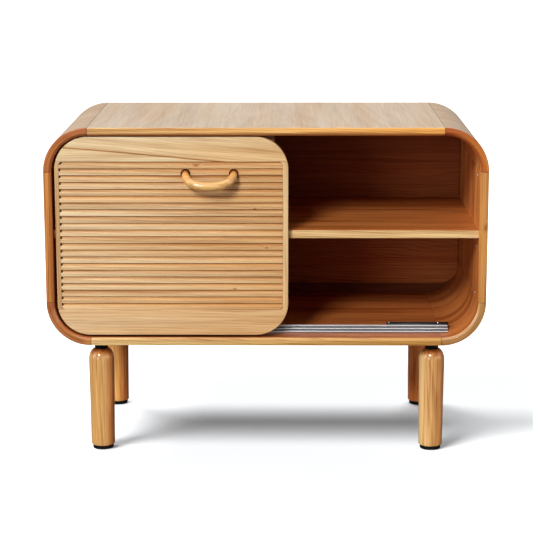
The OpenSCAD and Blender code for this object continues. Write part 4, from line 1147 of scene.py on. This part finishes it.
def rollers():
    """A grooved roller on each pin: its closed section is turned round the pin's axis."""
    for node in ("roller_left", "roller_right"):
        low, high = corners_of(node)
        centre, r, h = (low + high) / 2, (high[2] - low[2]) / 2, (high[1] - low[1]) / 2
        groove = GROOVE_HALF + GROOVE_SLANT
        corners = [(PIN_R, -h), (r, -h), (r, -groove), (TREAD_R, -GROOVE_HALF),
                   (TREAD_R, GROOVE_HALF), (r, groove), (r, h), (PIN_R, h)]
        section = soft_corners(corners, np.array([0.2, 0.3, 0.2, 0.15, 0.15, 0.2, 0.3, 0.2]) * MM, 4)
        make_piece(node, skin(lathe_rings(section, centre, (0, 1, 0)), closed=True), nylon, node)


def fittings():
    """Small parts that keep the solids' shapes, and hidden ones that keep the solids themselves."""
    for node, material, body, ease in (
            ("damper_housing", black_plastic, "case", 0.5), ("left_stop", black_plastic, "case", 0.5),
            ("damper_catch", black_plastic, "damper_catch", 0.3),
            ("carriages", black_plastic, "door", 0.3), ("guide_block", nylon, "case", 0.5),
            ("guide_rail", aluminium, "door", 0.2)):
        eased_copy(node, material, body, ease * MM)
    for node, material in (("corner_splines", spline_wood), ("leg_studs", steel), ("roller_pins", steel)):
        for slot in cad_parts[node].material_slots:
            slot.material = material


# ---------- floor, light and camera ----------

FLOOR_HALF = 30.0
# The floor's colour to the camera and to other rays, its tint, and how much light it adds
FLOOR_SEEN, FLOOR_BOUNCE, FLOOR_TINT = (0.78, 0.8, 0.82), (0.075,) * 3, (0.96, 1, 1.03)
FLOOR_GLOW = 0.18
# How bright the sky is, and how bright the white surroundings are in reflections
SKY, MIRRORED = 0.04, 0.45
# Name, way towards the light, strength, angle, and whether it lights only the floor
LAMPS = [("key", (-0.40, -1.0, 0.65), 2.45, 15, False),
         ("low_left", (-0.56, -1.0, 0.10), 0.42, 16, False),
         ("left", (-1.0, -0.35, 0.32), 0.9, 30, False),
         ("right", (1.0, -0.45, 0.20), 0.75, 40, False),
         ("overhead", (-0.1, -0.1, 1.0), 1.6, 70, False),
         ("floor_front", (-0.66, -0.60, 1.0), 4.1, 28, True),
         ("floor_back", (0.10, 0.52, 1.0), 2.0, 32, True),
         ("floor_side", (-0.60, 0.58, 1.0), 1.75, 22, True)]

LENS, SENSOR = 120.23, 36.0
CAMERA_PLACE = (0.03475, -3.0029, 0.91488)
CAMERA_YAW, CAMERA_PITCH, CAMERA_ROLL = -0.0119, 0.2062, -0.0018


def studio():
    """A plain white floor that keeps the table's shadow, soft lamps for the table, the brightest
    from the upper left front, three more for the floor, and an even sky that the camera sees as
    white."""
    mesh = bpy.data.meshes.new("floor")
    corners = rectangle(-FLOOR_HALF, -FLOOR_HALF, FLOOR_HALF, FLOOR_HALF)
    mesh.from_pydata([(x, y, 0) for x, y in corners], [], [(0, 1, 2, 3)])
    floor = in_scene("floor", mesh)
    material, g = new_material("floor_white")
    seen = g.node("ShaderNodeLightPath").outputs["Is Camera Ray"]
    g.surface({"Base Color": g.mix(seen, FLOOR_BOUNCE, FLOOR_SEEN), "Roughness": 0.9,
               "Specular IOR Level": 0.1, "Emission Color": FLOOR_TINT,
               "Emission Strength": g.times(seen, FLOOR_GLOW)})
    mesh.materials.append(material)

    world = bpy.data.worlds.new("sky")
    bpy.context.scene.world = world
    world.use_nodes = True
    g = Graph(world.node_tree)
    rays = g.node("ShaderNodeLightPath").outputs
    seen = g.math("MAXIMUM", g.math("MAXIMUM", rays["Is Camera Ray"], rays["Is Transmission Ray"]),
                  g.times(rays["Is Glossy Ray"], MIRRORED))
    sky = g.node("ShaderNodeBackground", {"Color": PLAIN, "Strength": g.add(SKY, g.times(seen, 1 - SKY))})
    g.node("ShaderNodeOutputWorld", {"Surface": sky.outputs[0]})

    for name, way, strength, spread, on_floor in LAMPS:
        lamp = bpy.data.lights.new(name, "SUN")
        lamp.energy, lamp.angle = strength, math.radians(spread)
        holder = in_scene(name, lamp)
        z = unit(way)
        x = unit(np.cross((0, 0, 1), z))
        turn = np.column_stack([x, np.cross(z, x), z, (0, 0, 3)])
        holder.matrix_world = Matrix(np.vstack([turn, (0, 0, 0, 1)]).tolist())
        lit = bpy.data.collections.new(name + "_light")
        lit.objects.link(floor)
        holder.light_linking.receiver_collection = lit
        for entry in lit.collection_objects:
            entry.light_linking.link_state = "INCLUDE" if on_floor else "EXCLUDE"


def camera():
    """A long lens from the front, turned by yaw, pitched down and rolled."""
    sin_yaw, cos_yaw = math.sin(CAMERA_YAW), math.cos(CAMERA_YAW)
    sin_pitch, cos_pitch = math.sin(CAMERA_PITCH), math.cos(CAMERA_PITCH)
    ahead = np.array([sin_yaw * cos_pitch, cos_yaw * cos_pitch, -sin_pitch])
    right = np.array([cos_yaw, -sin_yaw, 0])
    up = np.cross(right, ahead)
    c, s = math.cos(CAMERA_ROLL), math.sin(CAMERA_ROLL)
    turn = np.column_stack([c * right + s * up, c * up - s * right, -ahead, CAMERA_PLACE])
    data = bpy.data.cameras.new("camera")
    data.lens, data.sensor_width, data.clip_end = LENS, SENSOR, 100.0
    holder = in_scene("camera", data)
    holder.matrix_world = Matrix(np.vstack([turn, (0, 0, 0, 1)]).tolist())
    bpy.context.scene.camera = holder


camera()
studio()
flat_boards()
corner_blocks()
back_board()
shelf_board()
legs()
turned("leg_collars", black_metal, collar_profile)
turned("foot_pads", black_rubber, pad_profile)
wall_studs()
floor_track()
case_screws()
door_rails()
door_stiles()
slats()
door_back()
handle()
ferrules()
rollers()
door_screws()
fittings()

bpy.context.scene.view_settings.view_transform = "Standard"
